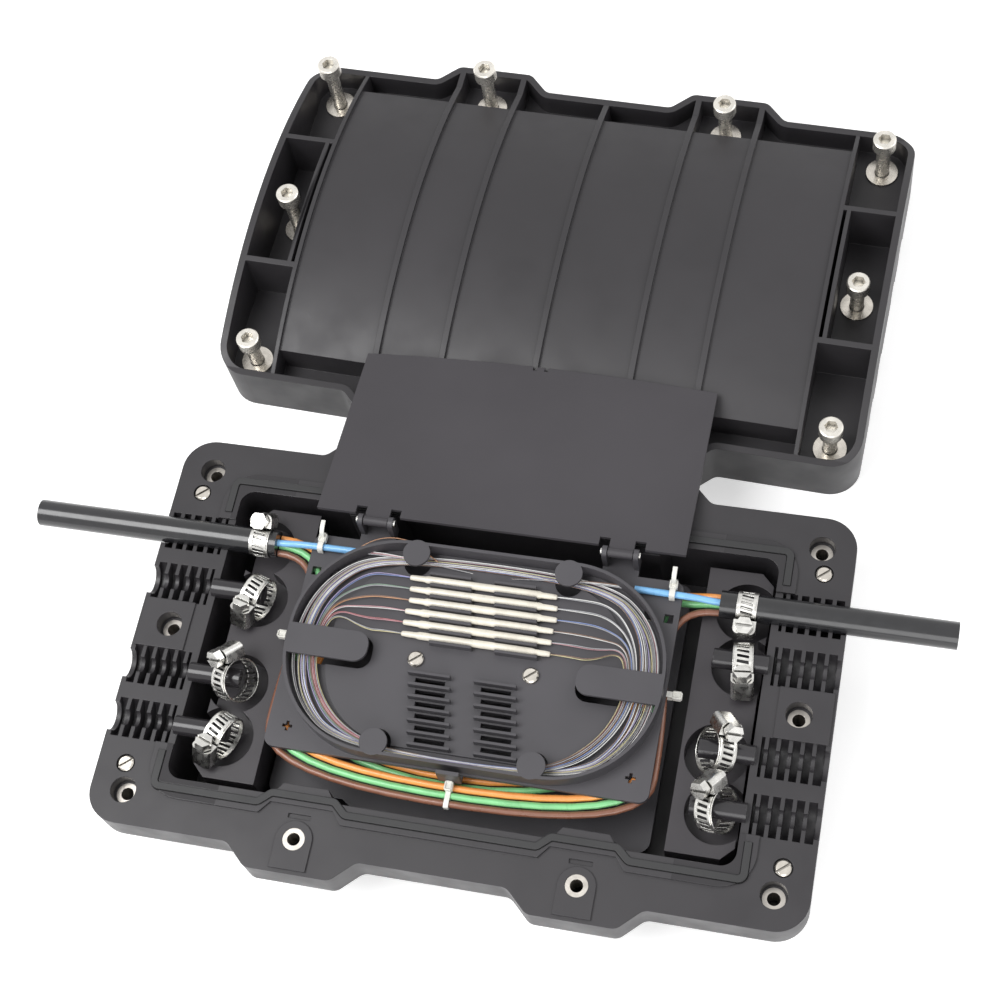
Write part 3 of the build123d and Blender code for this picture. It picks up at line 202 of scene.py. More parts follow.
class Finish:
    """A procedural material: its shader, and the nodes that vary it over the surface."""

    def __init__(self, name):
        self.material = bpy.data.materials.new(name)
        self.material.use_nodes = True
        self.nodes = self.material.node_tree.nodes
        self.links = self.material.node_tree.links
        self.shader = self.nodes["Principled BSDF"]
        self.coords = self.nodes.new("ShaderNodeTexCoord")
        self.normal = None

    def constants(self, **values):
        """Sets values that are the same all over, on the shader's own sockets."""
        for key, value in values.items():
            self.shader.inputs[key.replace("_", " ")].default_value = value

    def noise(self, scale, detail):
        """A noise over the object, whose scale is in features a metre."""
        noise = self.nodes.new("ShaderNodeTexNoise")
        noise.inputs["Scale"].default_value = scale
        noise.inputs["Detail"].default_value = detail
        self.links.new(self.coords.outputs["Object"], noise.inputs["Vector"])
        return noise.outputs["Fac"]

    def turned_ridges(self, pitch):
        """Ridges round the Z axis, a pitch apart in metres."""
        wave = self.nodes.new("ShaderNodeTexWave")
        wave.bands_direction = "Z"
        wave.inputs["Scale"].default_value = math.pi / (10 * pitch)
        self.links.new(self.coords.outputs["Object"], wave.inputs["Vector"])
        return wave.outputs["Fac"]

    def ramp(self, value, low, high, start=0.35, end=0.65):
        """Maps a value to a run of grey or colour between two ends."""
        ramp = self.nodes.new("ShaderNodeValToRGB")
        first, last = ramp.color_ramp.elements
        first.position, last.position = start, end
        first.color, last.color = low, high
        self.links.new(value, ramp.inputs["Fac"])
        return ramp.outputs["Color"]

    def grey_ramp(self, value, low, high, **ends):
        """Maps a value to a run of grey."""
        return self.ramp(value, (low, low, low, 1), (high, high, high, 1), **ends)

    def arithmetic(self, operation, value, other=None):
        """One operation on a value, with a second socket or a number where it takes two."""
        node = self.nodes.new("ShaderNodeMath")
        node.operation = operation
        self.links.new(value, node.inputs[0])
        if isinstance(other, float):
            node.inputs[1].default_value = other
        elif other is not None:
            self.links.new(other, node.inputs[1])
        return node.outputs[0]

    def colour(self, value, colour, spread, **ends):
        """Varies the base colour about its mean by a share."""
        low = tuple(c * (1 - spread) for c in colour) + (1,)
        high = tuple(min(1, c * (1 + spread)) for c in colour) + (1,)
        self.links.new(self.ramp(value, low, high, **ends), self.shader.inputs["Base Color"])

    def rough(self, value, low, high):
        """Varies the roughness between two values."""
        self.links.new(self.grey_ramp(value, low, high), self.shader.inputs["Roughness"])

    def paint_crevice_shade(self, reach, darkest_painted_shade):
        """Paints shade into the base colour: sockets, slots and threads darken the nearer their
        walls are.
        """
        shade = self.nodes.new("ShaderNodeAmbientOcclusion")
        shade.samples = 8
        shade.inputs["Distance"].default_value = reach
        mix = self.nodes.new("ShaderNodeMix")
        mix.data_type = "RGBA"
        mix.blend_type = "MULTIPLY"
        mix.inputs["Factor"].default_value = 1.0
        base = self.shader.inputs["Base Color"]
        grey = self.grey_ramp(shade.outputs["AO"], darkest_painted_shade, 1, start=0.15, end=0.75)
        self.links.new(base.links[0].from_socket, mix.inputs["A"])
        self.links.new(grey, mix.inputs["B"])
        self.links.new(mix.outputs["Result"], base)

    def gloss_between(self, low_x, high_x, above_z, gloss):
        """Makes what stands above a height near both ends glossier."""
        split = self.nodes.new("ShaderNodeSeparateXYZ")
        self.links.new(self.coords.outputs["Object"], split.inputs[0])
        out = self.arithmetic("ABSOLUTE", split.outputs["X"])
        beyond = self.arithmetic("GREATER_THAN", out, low_x)
        within = self.arithmetic("LESS_THAN", out, high_x)
        above = self.arithmetic("GREATER_THAN", split.outputs["Z"], above_z)
        mask = self.arithmetic("MULTIPLY", self.arithmetic("MULTIPLY", beyond, within), above)
        mix = self.nodes.new("ShaderNodeMix")
        mix.inputs["B"].default_value = gloss
        rough = self.shader.inputs["Roughness"]
        self.links.new(mask, mix.inputs["Factor"])
        self.links.new(rough.links[0].from_socket, mix.inputs["A"])
        self.links.new(mix.outputs["Result"], rough)

    def soften(self, radius):
        """Rounds the look of sharp edges."""
        bevel = self.nodes.new("ShaderNodeBevel")
        bevel.samples = 4
        bevel.inputs["Radius"].default_value = radius
        self.face_by(bevel.outputs["Normal"])

    def bump(self, value, depth, strength):
        """Raises and sinks the surface by a noise or by ridges."""
        bump = self.nodes.new("ShaderNodeBump")
        bump.inputs["Strength"].default_value = strength
        bump.inputs["Distance"].default_value = depth
        self.links.new(value, bump.inputs["Height"])
        if self.normal:
            self.links.new(self.normal, bump.inputs["Normal"])
        self.face_by(bump.outputs["Normal"])

    def face_by(self, normal):
        """Gives the shader a normal, on which the next bump builds."""
        self.normal = normal
        self.links.new(normal, self.shader.inputs["Normal"])


# Where the base's polished spigots are, by distance from the middle and height in metres
SPIGOT_FROM = 0.089
SPIGOT_TO = 0.114
SPIGOT_ABOVE = 0.0403
SPIGOT_ROUGH = 0.14
# How deep each kind of relief is
GRAIN_DEPTH = 0.02 * MM
SHEET_WAVE_DEPTH = 1.6 * MM
THREAD_DEPTH = 0.2 * MM
BRUSH_DEPTH = 0.01 * MM
# How far a metal's edges look rounded, and how near its walls a crevice gets painted shade
METAL_EDGE = 0.15 * MM
PAINTED_SHADE_REACH = 2.2 * MM


def moulded(name, colour, roughness, edge, spread=0.14, spigots=False):
    """Moulded black or grey plastic with a fine spark grain and faint flow marks."""
    finish = Finish(name)
    finish.constants(Specular_IOR_Level=0.5)
    finish.colour(finish.noise(14, detail=5), colour, spread, start=0.3, end=0.7)
    finish.rough(finish.noise(60, detail=6), roughness - 0.06, roughness + 0.08)
    if spigots:
        finish.gloss_between(SPIGOT_FROM, SPIGOT_TO, SPIGOT_ABOVE, SPIGOT_ROUGH)
    finish.soften(edge)
    finish.bump(finish.noise(2600, detail=3), GRAIN_DEPTH, strength=0.35)
    return finish.material


def moulded_lid(name, colour):
    """Thin sheet plastic: matte, with the slight waves of a warm-formed sheet."""
    finish = Finish(name)
    finish.constants(Specular_IOR_Level=0.4)
    finish.colour(finish.noise(9, detail=4), colour, spread=0.18, start=0.3, end=0.7)
    finish.rough(finish.noise(30, detail=5), 0.46, 0.6)
    finish.soften(0.3 * MM)
    finish.bump(finish.noise(16, detail=2), SHEET_WAVE_DEPTH, strength=0.35)
    finish.bump(finish.noise(2600, detail=3), GRAIN_DEPTH, strength=0.3)
    return finish.material


def metal(name, colour, roughness, thread=0.0, metallic=1.0, darkest_painted_shade=0.12):
    """Plated metal with light brushing and painted shade in its crevices; a thread's pitch adds
    turned ridges along Z.
    """
    finish = Finish(name)
    finish.constants(Metallic=metallic)
    finish.colour(finish.noise(260, detail=3), colour, spread=0.10)
    # Painted shade: the base colour darkens in sockets, slots and threads
    finish.paint_crevice_shade(PAINTED_SHADE_REACH, darkest_painted_shade)
    finish.rough(finish.noise(420, detail=4), roughness - 0.04, roughness + 0.07)
    finish.soften(METAL_EDGE)
    if thread:
        finish.bump(finish.turned_ridges(thread), THREAD_DEPTH, strength=0.6)
    finish.bump(finish.noise(900, detail=2), BRUSH_DEPTH, strength=0.2)
    return finish.material


def smooth(name, colour, roughness, coat=0.0):
    """Smooth plastic tube, jacket, sleeve, tie or fibre coating."""
    finish = Finish(name)
    finish.constants(Coat_Weight=coat, Coat_Roughness=0.12)
    finish.colour(finish.noise(160, detail=3), colour, spread=0.08)
    finish.rough(finish.noise(320, detail=3), roughness - 0.04, roughness + 0.06)
    finish.bump(finish.noise(500, detail=2), GRAIN_DEPTH, strength=0.25)
    return finish.material


MATERIALS = {
    "shell": moulded("shell_plastic", SHELL_BLACK, 0.42, 0.45 * MM, spread=0.16, spigots=True),
    "cover": moulded("cover_plastic", SHELL_BLACK, 0.44, 0.45 * MM),
    "tray": moulded("tray_plastic", TRAY_GREY, 0.44, 0.3 * MM),
    "rail": moulded("rail_plastic", RAIL_GREY, 0.42, 0.4 * MM),
    "rubber": moulded("seal_rubber", RUBBER_BLACK, 0.5, 0.5 * MM),
    "lid": moulded_lid("lid_plastic", LID_GREY),
    "steel": metal("clamp_steel", BRIGHT_STEEL, 0.26),
    "nickel": metal("bolt_nickel", NICKEL, 0.24),
    "thread": metal(
        "bolt_thread_nickel", BOLT_NICKEL, 0.27, thread=1.0 * MM, metallic=0.86, darkest_painted_shade=0.06
    ),
    "insert": metal("insert_nickel", INSERT_NICKEL, 0.34, thread=0.8 * MM, darkest_painted_shade=0.06),
    "jacket": smooth("cable_jacket", JACKET_BLACK, 0.2, coat=0.4),
    "sleeve": smooth("shrink_sleeve", SLEEVE_CREAM, 0.28, coat=0.3),
    "tie": smooth("nylon_tie", TIE_WHITE, 0.35),
    "blue": smooth("tube_blue", TUBE_BLUE, 0.3, coat=0.3),
    "green": smooth("tube_green", TUBE_GREEN, 0.3, coat=0.3),
    "orange": smooth("tube_orange", TUBE_ORANGE, 0.3, coat=0.3),
    "brown": smooth("tube_brown", TUBE_BROWN, 0.3, coat=0.3),
}
# Which of them each carried solid takes, by its name or how that starts
SOLID_MATERIALS = {
    "base_shell": "shell",
    "cover": "cover",
    "cover_bolts": "thread",
    "threaded_inserts": "insert",
    "splice_tray": "tray",
    "tray_bracket": "tray",
    "tray_lid": "lid",
    "sealing_cords": "rubber",
    "hinge_pins": "steel",
}
FAMILY_MATERIALS = {"anchor_rail": "rail", "clamp_": "steel", "cable_": "jacket"}


def material_key(name):
    """The material of a carried solid; washers and small screws are nickel."""
    if name in SOLID_MATERIALS:
        return SOLID_MATERIALS[name]
    for family, key in FAMILY_MATERIALS.items():
        if name.startswith(family):
            return key
    return "nickel"


def dress_frame():
    """Gives each carried solid its material."""
    for name, obj in frame["nodes"].items():
        obj.data.materials.clear()
        obj.data.materials.append(MATERIALS[material_key(name)])


def fibre_material(colour):
    """The coating colour of a fibre, made once."""
    key = f"fibre_{colour}"
    if key not in MATERIALS:
        MATERIALS[key] = smooth(key, FIBRE_COLOURS[colour], 0.3, coat=0.2)
    return MATERIALS[key]


def add_piece(name, data, material, place=IN_PLACE):
    """Puts built data into the scene as a piece that moves with the closure."""
    data.materials.append(material)
    obj = bpy.data.objects.new(name, data)
    obj.matrix_world = place
    link(obj)
    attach(obj, BODY)
    return obj


def mesh_piece(name, mesh, material, place=IN_PLACE):
    """Turns a built mesh into a piece."""
    data = bpy.data.meshes.new(name)
    mesh.to_mesh(data)
    mesh.free()
    return add_piece(name, data, material, place)


def add_vert(mesh, place):
    """A vertex at a place in millimetres."""
    return mesh.verts.new([c * MM for c in place])


def add_spline(data, points, cyclic):
    """A smooth spline with the given control points, in millimetres."""
    spline = data.splines.new("NURBS")
    spline.points.add(len(points) - 1)
    for point, (x, y, z) in zip(spline.points, points):
        point.co = (x * MM, y * MM, z * MM, 1)
    spline.order_u = 3
    spline.use_cyclic_u = cyclic
    spline.use_endpoint_u = not cyclic
    spline.resolution_u = 8


def strands(name, runs, radius, material, sides, cyclic=False):
    """Round strands along the given runs of points."""
    data = bpy.data.curves.new(name, "CURVE")
    data.dimensions = "3D"
    data.bevel_depth = radius * MM
    data.bevel_resolution = sides
    data.use_fill_caps = True
    for run in runs:
        add_spline(data, run, cyclic)
    return add_piece(name, data, material)


FIBRE_R = 0.2
TUBE_R = 1.4


def fibres(name, colour, runs, cyclic=False):
    """Fibres of one colour, as one piece."""
    return strands(name, runs, FIBRE_R, fibre_material(colour), 1, cyclic)


def tube(name, colour, run):
    """A buffer tube."""
    return strands(name, [run], TUBE_R, MATERIALS[colour], 4)


# The fibre ring inside the tray's oval wall, in millimetres
TRAY_CENTRE_Y = 1.5
TRAY_FLOOR_TOP = 42.0
RING_HALF_X = 73.5
RING_HALF_Y = 43.0
RING_END_R = 40.4
# How sharply its straight stretches turn into its ends
RING_TURN_SHARPNESS = 3
# Its gap to the wall, its spread inwards and its height, wide at the ends and low at the near wall
RING_GAP = {"end": 0.5, "rear": 0.9, "near": 0.3}
RING_SPREAD = {"right": 7.6, "left": 5.8, "rear": 3.6, "near": 1.8}
RING_HEIGHT = {"end": 2.6, "rear": 1.4, "near": 0.5}
RING_LIFT = 0.4
# Each strand's colour, and its place across the bundle from the wall inwards
RING_STRANDS = [
    ("grey", 0.0), ("white", 0.05), ("rose", 0.11), ("grey", 0.17),
    ("white", 0.29), ("grey", 0.33), ("white", 0.38), ("yellow", 0.43),
    ("white", 0.55), ("violet", 0.59), ("grey", 0.64), ("white", 0.69),
    ("orange", 0.79), ("white", 0.83), ("grey", 0.87), ("blue", 0.92),
    ("white", 0.96), ("brown", 1.0),
]
RING_POINTS = 24
# How a strand wanders across the bundle, as a share of it, and how far its points are off
WANDER = 0.045
WANDER_WAVES = 3
LOOSE_ACROSS = 0.08
LOOSE_UP = 0.15


def stadium(angle, inset):
    """A point of the fibre ring, by its angle from the middle of the right end."""
    r = RING_END_R - inset
    cos, sin = math.cos(angle), math.sin(angle)
    side_x = math.copysign(RING_HALF_X - RING_END_R, cos) * min(1, abs(cos) * RING_TURN_SHARPNESS)
    side_y = math.copysign(RING_HALF_Y - RING_END_R, sin) * min(1, abs(sin) * RING_TURN_SHARPNESS)
    return side_x + r * cos, TRAY_CENTRE_Y + side_y + r * sin


def bundle(angle):
    """The ring's gap to the wall, its spread and its height at an angle round it."""
    across = math.cos(angle) ** 2
    side = "rear" if math.sin(angle) > 0 else "near"
    end = "right" if math.cos(angle) > 0 else "left"
    gap = RING_GAP["end"] * across + RING_GAP[side] * (1 - across)
    spread = RING_SPREAD[end] * across + RING_SPREAD[side] * (1 - across)
    height = RING_HEIGHT["end"] * across + RING_HEIGHT[side]
    return gap, spread, height


def fibre_ring(rng):
    """Loose turns of spare fibre round the tray, in mixed colours."""
    turns = {}
    for colour, depth in RING_STRANDS:
        level = rng.uniform(0.1, 0.9)
        drift = rng.uniform(0, 2 * math.pi)
        run = []
        for k in range(RING_POINTS):
            angle = 2 * math.pi * k / RING_POINTS
            gap, spread, height = bundle(angle)
            share = depth + WANDER * math.sin(WANDER_WAVES * angle + drift)
            inset = gap + min(1, max(0, share)) * spread + rng.uniform(-LOOSE_ACROSS, LOOSE_ACROSS)
            x, y = stadium(angle, inset)
            z = TRAY_FLOOR_TOP + RING_LIFT + height * level + rng.uniform(-LOOSE_UP, LOOSE_UP)
            run.append((x, y, z))
        turns.setdefault(colour, []).append(run)
    for colour, runs in turns.items():
        piece = fibres(f"fibre_ring_{colour}", colour, runs, cyclic=True)
        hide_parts("fibre_coil")


# The six sleeves as the solids have them, in millimetres
SLEEVE_COUNT = 6
SLEEVE_PITCH = 4.8
SLEEVE_Y = 20.5
SLEEVE_Z = 44.8
SLEEVE_HALF = 30.0
SLEEVE_R = 1.6
SLEEVE_LEAN = 0.95
# How far each sleeve has slid along its comb, from the near one to the far one
SLEEVE_SLIDES = (-3.2, -2.6, -1.8, -0.3, 0.0, 0.0)
SLEEVE_SIDES = 16
# Stations along a sleeve and the share of its full radius there
SLEEVE_PROFILE = [
    (-1.0, 0.50), (-0.985, 0.66), (-0.93, 0.72), (-0.80, 0.76), (-0.76, 0.97),
    (-0.4, 1.0), (0.0, 0.97), (0.4, 1.0),
    (0.76, 0.97), (0.80, 0.76), (0.93, 0.72), (0.985, 0.66), (1.0, 0.50),
]
# The groove along its top: depth as a share of the radius, place and width in radians
GROOVE_DEPTH = 0.10
GROOVE_ANGLE = 1.15
GROOVE_WIDTH = 0.3
# The fibres from each sleeve's two ends, from the near sleeve to the far one
FANS = {
    "left": [
        ("yellow", "grey"), ("rose", "red"), ("white", "rose"),
        ("orange", "brown"), ("grey", "green"), ("blue", "violet"),
    ],
    "right": [
        ("yellow", "brown"), ("rose", "grey"), ("white", "brown"),
        ("grey", "blue"), ("white", "grey"), ("grey", "white"),
    ],
}
# How far out the nearest sleeve's fibres turn, and the steps to the next sleeve's and to a twin
FAN_FIRST = {"left": 2.6, "right": 0.0}
FAN_STEP = {"left": 0.62, "right": 0.85}
TWIN_STEP = 0.42


def sleeve_rows():
    """The number and centre of each sleeve, from the near one to the far one."""
    for i in range(SLEEVE_COUNT):
        row = i - (SLEEVE_COUNT - 1) / 2
        yield i, SLEEVE_SLIDES[i] - row * SLEEVE_LEAN, SLEEVE_Y + row * SLEEVE_PITCH


def sleeve_ring(mesh, x, y, share):
    """A sleeve's round at one station, a little in at the groove."""
    ring = []
    for k in range(SLEEVE_SIDES):
        angle = 2 * math.pi * k / SLEEVE_SIDES
        groove = GROOVE_DEPTH * math.exp(-((angle - GROOVE_ANGLE) / GROOVE_WIDTH) ** 2) * share
        r = SLEEVE_R * (share - groove)
        ring.append(add_vert(mesh, (x, y + r * math.cos(angle), SLEEVE_Z + r * math.sin(angle))))
    return ring


def sleeve_pieces():
    """Shrunk protection sleeves: a full middle over narrower ends, with a groove along the top."""
    for i, x, y in sleeve_rows():
        mesh = bmesh.new()
        rings = []
        for along, share in SLEEVE_PROFILE:
            rings.append(sleeve_ring(mesh, x + along * SLEEVE_HALF, y, share))
        for a, b in zip(rings, rings[1:]):
            for k in range(SLEEVE_SIDES):
                n = (k + 1) % SLEEVE_SIDES
                mesh.faces.new((a[k], b[k], b[n], a[n]))
        mesh.faces.new(rings[0])
        mesh.faces.new(list(reversed(rings[-1])))
        bmesh.ops.recalc_face_normals(mesh, faces=mesh.faces)
        for face in mesh.faces:
            face.smooth = len(face.verts) == 4
        piece = mesh_piece(f"splice_sleeve_{i + 1}", mesh, MATERIALS["sleeve"])
        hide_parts("splice_sleeves")


def fan_run(side, i, x, y, twin, out, z):
    """The route of a fibre from its sleeve's end, round under the wide tab to the near wall."""
    end = x + side * SLEEVE_HALF
    return [
        (end - side * 1.5, y, SLEEVE_Z),
        (end + side * 7, y + 0.35 * twin, z),
        (side * (45 + 1.1 * i), y - 0.8 + 0.3 * twin, z + 0.3),
        (side * (56.5 + out), 13.5 + 1.1 * i, z + 0.6),
        (side * (60.0 + out), 2, z + 0.8),
        (side * (59.6 + out), -9, z + 0.6),
        (side * (54.5 + out), -21, z),
        (side * (45.5 + out), -30.5 - 0.3 * i, z - 0.3),
        (side * (36 + 0.5 * out), -36.2 - 0.3 * i, z - 0.6),
        (side * (27 + 0.5 * i), -38.6 - 0.25 * i, TRAY_FLOOR_TOP + 1.6),
    ]


def fibre_fans(rng):
    """The fibres from both ends of each sleeve."""
    for word, side in SIDES.items():
        turns = {}
        for i, x, y in sleeve_rows():
            for twin, colour in enumerate(FANS[word][i]):
                out = FAN_FIRST[word] + FAN_STEP[word] * i + TWIN_STEP * twin
                z = SLEEVE_Z + 0.5 * twin + rng.uniform(-0.1, 0.1)
                turns.setdefault(colour, []).append(fan_run(side, i, x, y, twin, out, z))
        for colour, runs in turns.items():
            piece = fibres(f"fibre_fan_{word}_{colour}", colour, runs)
            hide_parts(f"fibre_fan_{word}")


# The uncut tubes under the tray: their levels, the outermost one's lines and their spacing
TUBE_Z = 38.3
TUBE_LOW = 34.9
TUBE_SIDE_X = 77.0
TUBE_SIDE_Y = -14.0
TUBE_REAR_Y = 37.8
TUBE_NEAR_Y = -55.0
TUBE_GAP = 3.2
JACKET_END_X = 90.7
# How far in from its side line a tube's rear and near corner points stand
REAR_CORNER_IN = 7.0
NEAR_CORNER_IN = 1.0
# The lower loops: half length, near line, rear line, and where the tube starts to drop to it
LOOPS = {"green": (67.5, -46.9, 27.8, 54.0), "orange": (64.3, -43.7, 24.6, 50.8)}
SLOPE_RUN = 12.0
RISE_END_X = 87.5


def tube_lines(row):
    """How far out and how far to the rear a tube's line runs, by its row from the outside."""
    return TUBE_SIDE_X - TUBE_GAP * row, TUBE_REAR_Y + TUBE_GAP * row


def tube_half(side, row):
    """A tube's level half round one side, from the jacket's end to the near corner."""
    x_side, y_rear = tube_lines(row)
    return [
        (side * JACKET_END_X, y_rear, TUBE_Z),
        (side * (x_side - REAR_CORNER_IN), y_rear, TUBE_Z),
        (side * x_side, TUBE_SIDE_Y, TUBE_Z),
        (side * (x_side - NEAR_CORNER_IN), TUBE_NEAR_Y + TUBE_GAP * row, TUBE_Z),
    ]


def uncut_tubes():
    """The tubes that pass from cable to cable: one straight round, two by a second, lower loop."""
    piece = tube("brown_buffer_tube", "brown", tube_half(-1, 0) + tube_half(1, 0)[::-1])
    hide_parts("brown_tube")
    for row, (colour, (x_loop, y_near, y_back, drop_x)) in enumerate(LOOPS.items(), 1):
        x_side, y_rear = tube_lines(row)
        near_right = tube_half(1, row)[:1:-1]
        run = tube_half(-1, row) + near_right + [
            (x_side - REAR_CORNER_IN, y_back, TUBE_Z),
            (drop_x, y_back, TUBE_Z),
            (drop_x - SLOPE_RUN, y_back, TUBE_LOW),
            (-x_loop, y_back, TUBE_LOW),
            (-x_loop, y_near, TUBE_LOW),
            (x_loop, y_near, TUBE_LOW),
            (x_loop, y_rear, TUBE_LOW),
            (x_loop + SLOPE_RUN, y_rear, TUBE_LOW),
            (RISE_END_X, y_rear, TUBE_Z),
            (JACKET_END_X, y_rear, TUBE_Z),
        ]
        piece = tube(f"{colour}_buffer_tube", colour, run)
        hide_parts(f"{colour}_tube")


# The cut blue tubes on the tray: distance from the middle, and height
CABLE_Y = 41.0
BLUE_Z = 43.4
BLUE_RUN = [(91.0, 41.4), (87.8, 41.4), (79.2, BLUE_Z), (57.0, BLUE_Z)]
# The fibres out of them: distance from the middle, way to the near side, that of each next
# fibre, and height; low where they go through the oval wall, because the lid closes on it
TUBE_FIBRE_RUN = [
    (57.4, 0.0, 0.0, 43.4),
    (53.0, 0.0, 0.0, 43.9),
    (46.0, 0.1, 0.0, 44.6),
    (38.0, 0.4, 0.2, 45.2),
    (30.0, 0.9, 0.4, 45.4),
    (20.0, 1.5, 0.5, 44.6),
    (8.0, 2.2, 0.5, 43.2),
]
TUBE_FIBRES = {"left": ("grey", "rose", "white"), "right": ("grey", "white", "brown")}
TUBE_FIBRE_GAP = 0.5
# The one loose strand, in an arc outside the wall by the left hinge
ORANGE_ARC = [
    (-57.2, 41.6, 43.8),
    (-53.5, 44.6, 45.0),
    (-47.0, 47.2, 46.6),
    (-40.0, 47.8, 47.2),
    (-33.5, 46.8, 46.6),
    (-28.0, 43.5, 45.4),
    (-23.0, 41.0, 44.0),
]


def blue_tubes():
    """The cut tubes from the cables' ends on to the tray, and the fibres out of them."""
    for word, side in SIDES.items():
        run = [(side * x, CABLE_Y, z) for x, z in BLUE_RUN]
        piece = tube(f"blue_buffer_tube_{word}", "blue", run)
        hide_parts(f"blue_tube_{word}")
        for k, colour in enumerate(TUBE_FIBRES[word]):
            y = CABLE_Y + TUBE_FIBRE_GAP * (k - 1)
            run = [(side * x, y - nearer - fan * k, z) for x, nearer, fan, z in TUBE_FIBRE_RUN]
            fibres(f"tube_fibre_{word}_{colour}", colour, [run])
    fibres("tube_fibre_left_orange", "orange", [ORANGE_ARC])


# Cable ties: a flat strap bent round the tubes, its ratchet head and its free tail
TIE_WIDTH = 2.4
TIE_TAIL_WIDTH = 1.9
NEAR_TIE_WIDTH = 2.1
TIE_THICK = 0.55
TIE_HEAD = (4.0, 3.4, 3.2)
TIE_HEAD_EDGE = 0.45
TIE_SLOT_RIM = 0.6
TIE_SLOT_DEPTH = 0.7
TRAY_TIE_X = 72.0
TRAY_TIE_ARCH = [
    (-2.0, -1.35), (-2.1, 0.2), (-1.6, 2.0), (0, 2.35), (1.6, 2.0), (2.1, 0.2), (2.0, -1.35),
]
TRAY_TIE_TAIL = [(3.6, 1.2), (3.7, 3.2), (4.8, 5.0), (7.0, 5.9), (9.2, 6.0)]
NEAR_TIE_Y = -51.8
SIDE_TIE_X = 76.6
SIDE_TIE_Y = {"left": 3.0, "right": 1.0}


def ribbon(name, outline, width, place, cyclic=False):
    """A flat nylon strap: an outline in its own plane, as wide as given across it."""
    data = bpy.data.curves.new(name, "CURVE")
    data.dimensions = "2D"
    data.fill_mode = "NONE"
    data.extrude = (width - TIE_THICK) / 2 * MM
    data.bevel_depth = TIE_THICK / 2 * MM
    data.bevel_resolution = 2
    add_spline(data, [(u, v, 0) for u, v in outline], cyclic)
    return add_piece(name, data, MATERIALS["tie"], place)


def strap_loop(half_u, half_v):
    """The outline of a strap right round tubes: a box whose corners the spline rounds."""
    return [
        (-half_u, 0), (-half_u, half_v), (0, half_v), (half_u, half_v),
        (half_u, 0), (half_u, -half_v), (0, -half_v), (-half_u, -half_v),
    ]


def tie_head(name, place, u, v):
    """The ratchet head: a bevelled block with the slot that the tail comes out of."""
    mesh = bmesh.new()
    made = bmesh.ops.create_cube(mesh, size=1.0)
    bmesh.ops.scale(mesh, vec=[c * MM for c in TIE_HEAD], verts=made["verts"])
    edges = list(mesh.edges)
    bmesh.ops.bevel(mesh, geom=edges, offset=TIE_HEAD_EDGE * MM, segments=3, affect="EDGES")
    top = max(mesh.faces, key=lambda f: f.calc_center_median().y)
    bmesh.ops.inset_region(mesh, faces=[top], thickness=TIE_SLOT_RIM * MM)
    bmesh.ops.translate(mesh, vec=(0, -TIE_SLOT_DEPTH * MM, 0), verts=top.verts)
    beside = Matrix.Translation(Vector((u, v, 0)) * MM)
    return mesh_piece(name, mesh, MATERIALS["tie"], place @ beside)


def plane_at(x, y, z, spin=0.0):
    """A frame whose own plane stands across X (u along Y, v along Z), turned about Z."""
    across = Matrix(((0, 0, 1), (1, 0, 0), (0, 1, 0))).to_4x4()
    turn = Matrix.Rotation(math.radians(spin), 4, "Z")
    return Matrix.Translation(Vector((x, y, z)) * MM) @ turn @ across


def ties():
    """Two ties over the blue tubes on the tray, and three round the uncut tubes."""
    for word, side in SIDES.items():
        place = plane_at(side * TRAY_TIE_X, CABLE_Y, BLUE_Z)
        strap = ribbon(f"tray_tie_strap_{word}", TRAY_TIE_ARCH, TIE_WIDTH, place)
        head = tie_head(f"tray_tie_head_{word}", place, 3.6, 0.6)
        tail = ribbon(f"tray_tie_tail_{word}", TRAY_TIE_TAIL, TIE_TAIL_WIDTH, place)
        for piece in (strap, head, tail):
            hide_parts("tube_ties")
    place = plane_at(0, NEAR_TIE_Y, TUBE_Z)
    ribbon("near_tie_strap", strap_loop(4.9, 1.72), NEAR_TIE_WIDTH, place, cyclic=True)
    tie_head("near_tie_head", place, 3.0, 2.9)
    for word, side in SIDES.items():
        place = plane_at(side * SIDE_TIE_X, SIDE_TIE_Y[word], TUBE_Z, spin=90)
        ribbon(f"side_tie_strap_{word}", strap_loop(1.75, 1.75), TIE_WIDTH, place, cyclic=True)
        tie_head(f"side_tie_head_{word}", place, -side * 3.4, 0.6)


# Worm-drive clamps, in millimetres: the solids' band, screw and housing
TIGHT_R = 5.55
LOOSE_R = 8.4
BAND_THICK = 0.7
BAND_WIDTH = 8.0
SCREW_R = 2.0
SCREW_GAP = 0.2
HOUSING_HALF = 4.5
# The drawn band, thinner so that the screw turns clear of it, its tail and its slots
DRAWN_THICK = 0.56
TAIL_GAP = 0.02
TAIL_WIDTH = 7.0
TAIL_SWEEP = 70
SLOT_PITCH = 2.2
SLOT_HALF = 2.3
SLOT_SLANT = 0.35
BAND_EDGE = 0.1
BAND_EDGE_FROM = 50
# The angle on the band at which its housing stands
HOUSING_AT = 90
# Each clamp's inner radius, then its turn, lean, swing and way in degrees, as the solids have them
CLAMPS = [
    (TIGHT_R, -62, 0, 0, 0),
    (LOOSE_R, 64, 0, -16, 180),
    (LOOSE_R, -38, -30, -12, 0),
    (LOOSE_R, 64, 0, -20, 180),
    (TIGHT_R, 98, 0, 0, 180),
    (LOOSE_R, 64, 0, 6, 180),
    (LOOSE_R, -42, 32, 12, 0),
    (LOOSE_R, -38, -30, -10, 0),
]


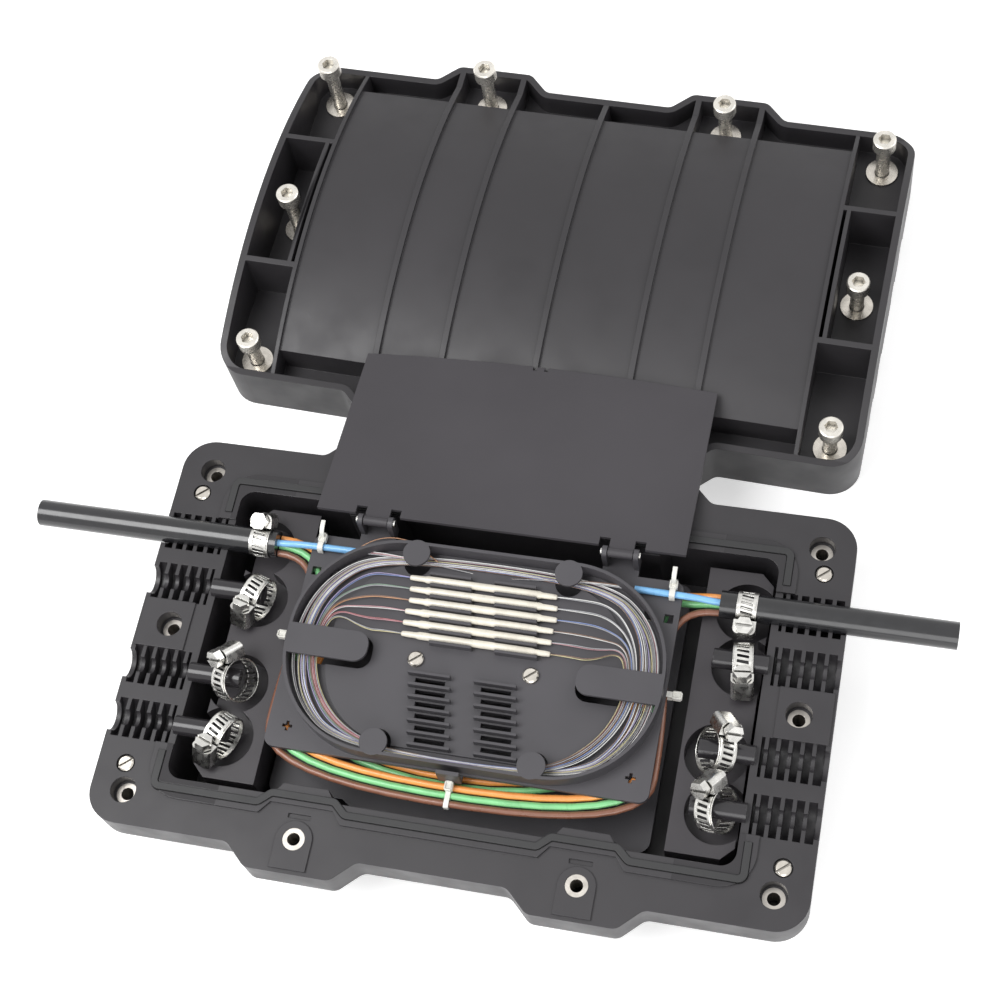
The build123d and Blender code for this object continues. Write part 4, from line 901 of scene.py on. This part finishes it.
def band_arc(mesh, radius, start, sweep, half_width):
    """A band on an arc about X: every other cell has its middle cut out as a slanting slot."""
    closed = sweep == 360
    count = 2 * round(math.radians(sweep) * radius / SLOT_PITCH)
    lanes = (
        (-half_width, 0), (-SLOT_HALF, -SLOT_SLANT), (SLOT_HALF, SLOT_SLANT), (half_width, 0),
    )
    columns = []
    for k in range(count if closed else count + 1):
        column = []
        for x, slant in lanes:
            angle = math.radians(start + sweep * k / count) + slant / radius
            column.append(add_vert(mesh, (x, radius * math.cos(angle), radius * math.sin(angle))))
        columns.append(column)
    for k in range(count):
        a, b = columns[k], columns[(k + 1) % len(columns)]
        from_housing = (start + sweep * (k + 0.5) / count - HOUSING_AT + 180) % 360 - 180
        under_housing = closed and abs(from_housing) < math.degrees(HOUSING_HALF / radius)
        slotted = k % 2 == 1 and not under_housing
        for lane in (0, 2) if slotted else (0, 1, 2):
            mesh.faces.new((a[lane], b[lane], b[lane + 1], a[lane + 1]))


def clamp_bands():
    """The slotted steel bands, set on each screw's joint."""
    joints = {j["name"]: j for j in frame["joints"]}
    for n, (bore, turn, lean, swing, way) in enumerate(CLAMPS, 1):
        spin = Matrix.Identity(4)
        for angle, axis in ((swing, "Z"), (lean, "Y"), (turn, "X"), (way, "Z")):
            spin = spin @ Matrix.Rotation(math.radians(angle), 4, axis)
        height = (bore + 2 * BAND_THICK + SCREW_R + SCREW_GAP) * MM
        screw = Vector(joints[f"clamp_screw_{n}_turn"]["pos_m"])
        place = Matrix.Translation(screw - spin @ Vector((0, 0, height))) @ spin
        mesh = bmesh.new()
        band_arc(mesh, bore + DRAWN_THICK / 2, HOUSING_AT, 360, BAND_WIDTH / 2)
        tail_r = bore + 1.5 * DRAWN_THICK + TAIL_GAP
        tail_start = HOUSING_AT + math.degrees(HOUSING_HALF / (bore + BAND_THICK))
        band_arc(mesh, tail_r, tail_start, TAIL_SWEEP, TAIL_WIDTH / 2)
        obj = mesh_piece(f"slotted_band_{n}", mesh, MATERIALS["steel"], place)
        shell = obj.modifiers.new("thickness", "SOLIDIFY")
        shell.thickness = DRAWN_THICK * MM
        shell.offset = 0
        edge = obj.modifiers.new("edge", "BEVEL")
        edge.width = BAND_EDGE * MM
        edge.segments = 1
        edge.limit_method = "ANGLE"
        edge.angle_limit = math.radians(BAND_EDGE_FROM)
        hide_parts(f"clamp_band_{n}")


rng = random.Random(SEED)
camera()
sky()
floor()
lamps()
dress_frame()
fibre_ring(rng)
fibre_fans(rng)
sleeve_pieces()
uncut_tubes()
blue_tubes()
ties()
clamp_bands()
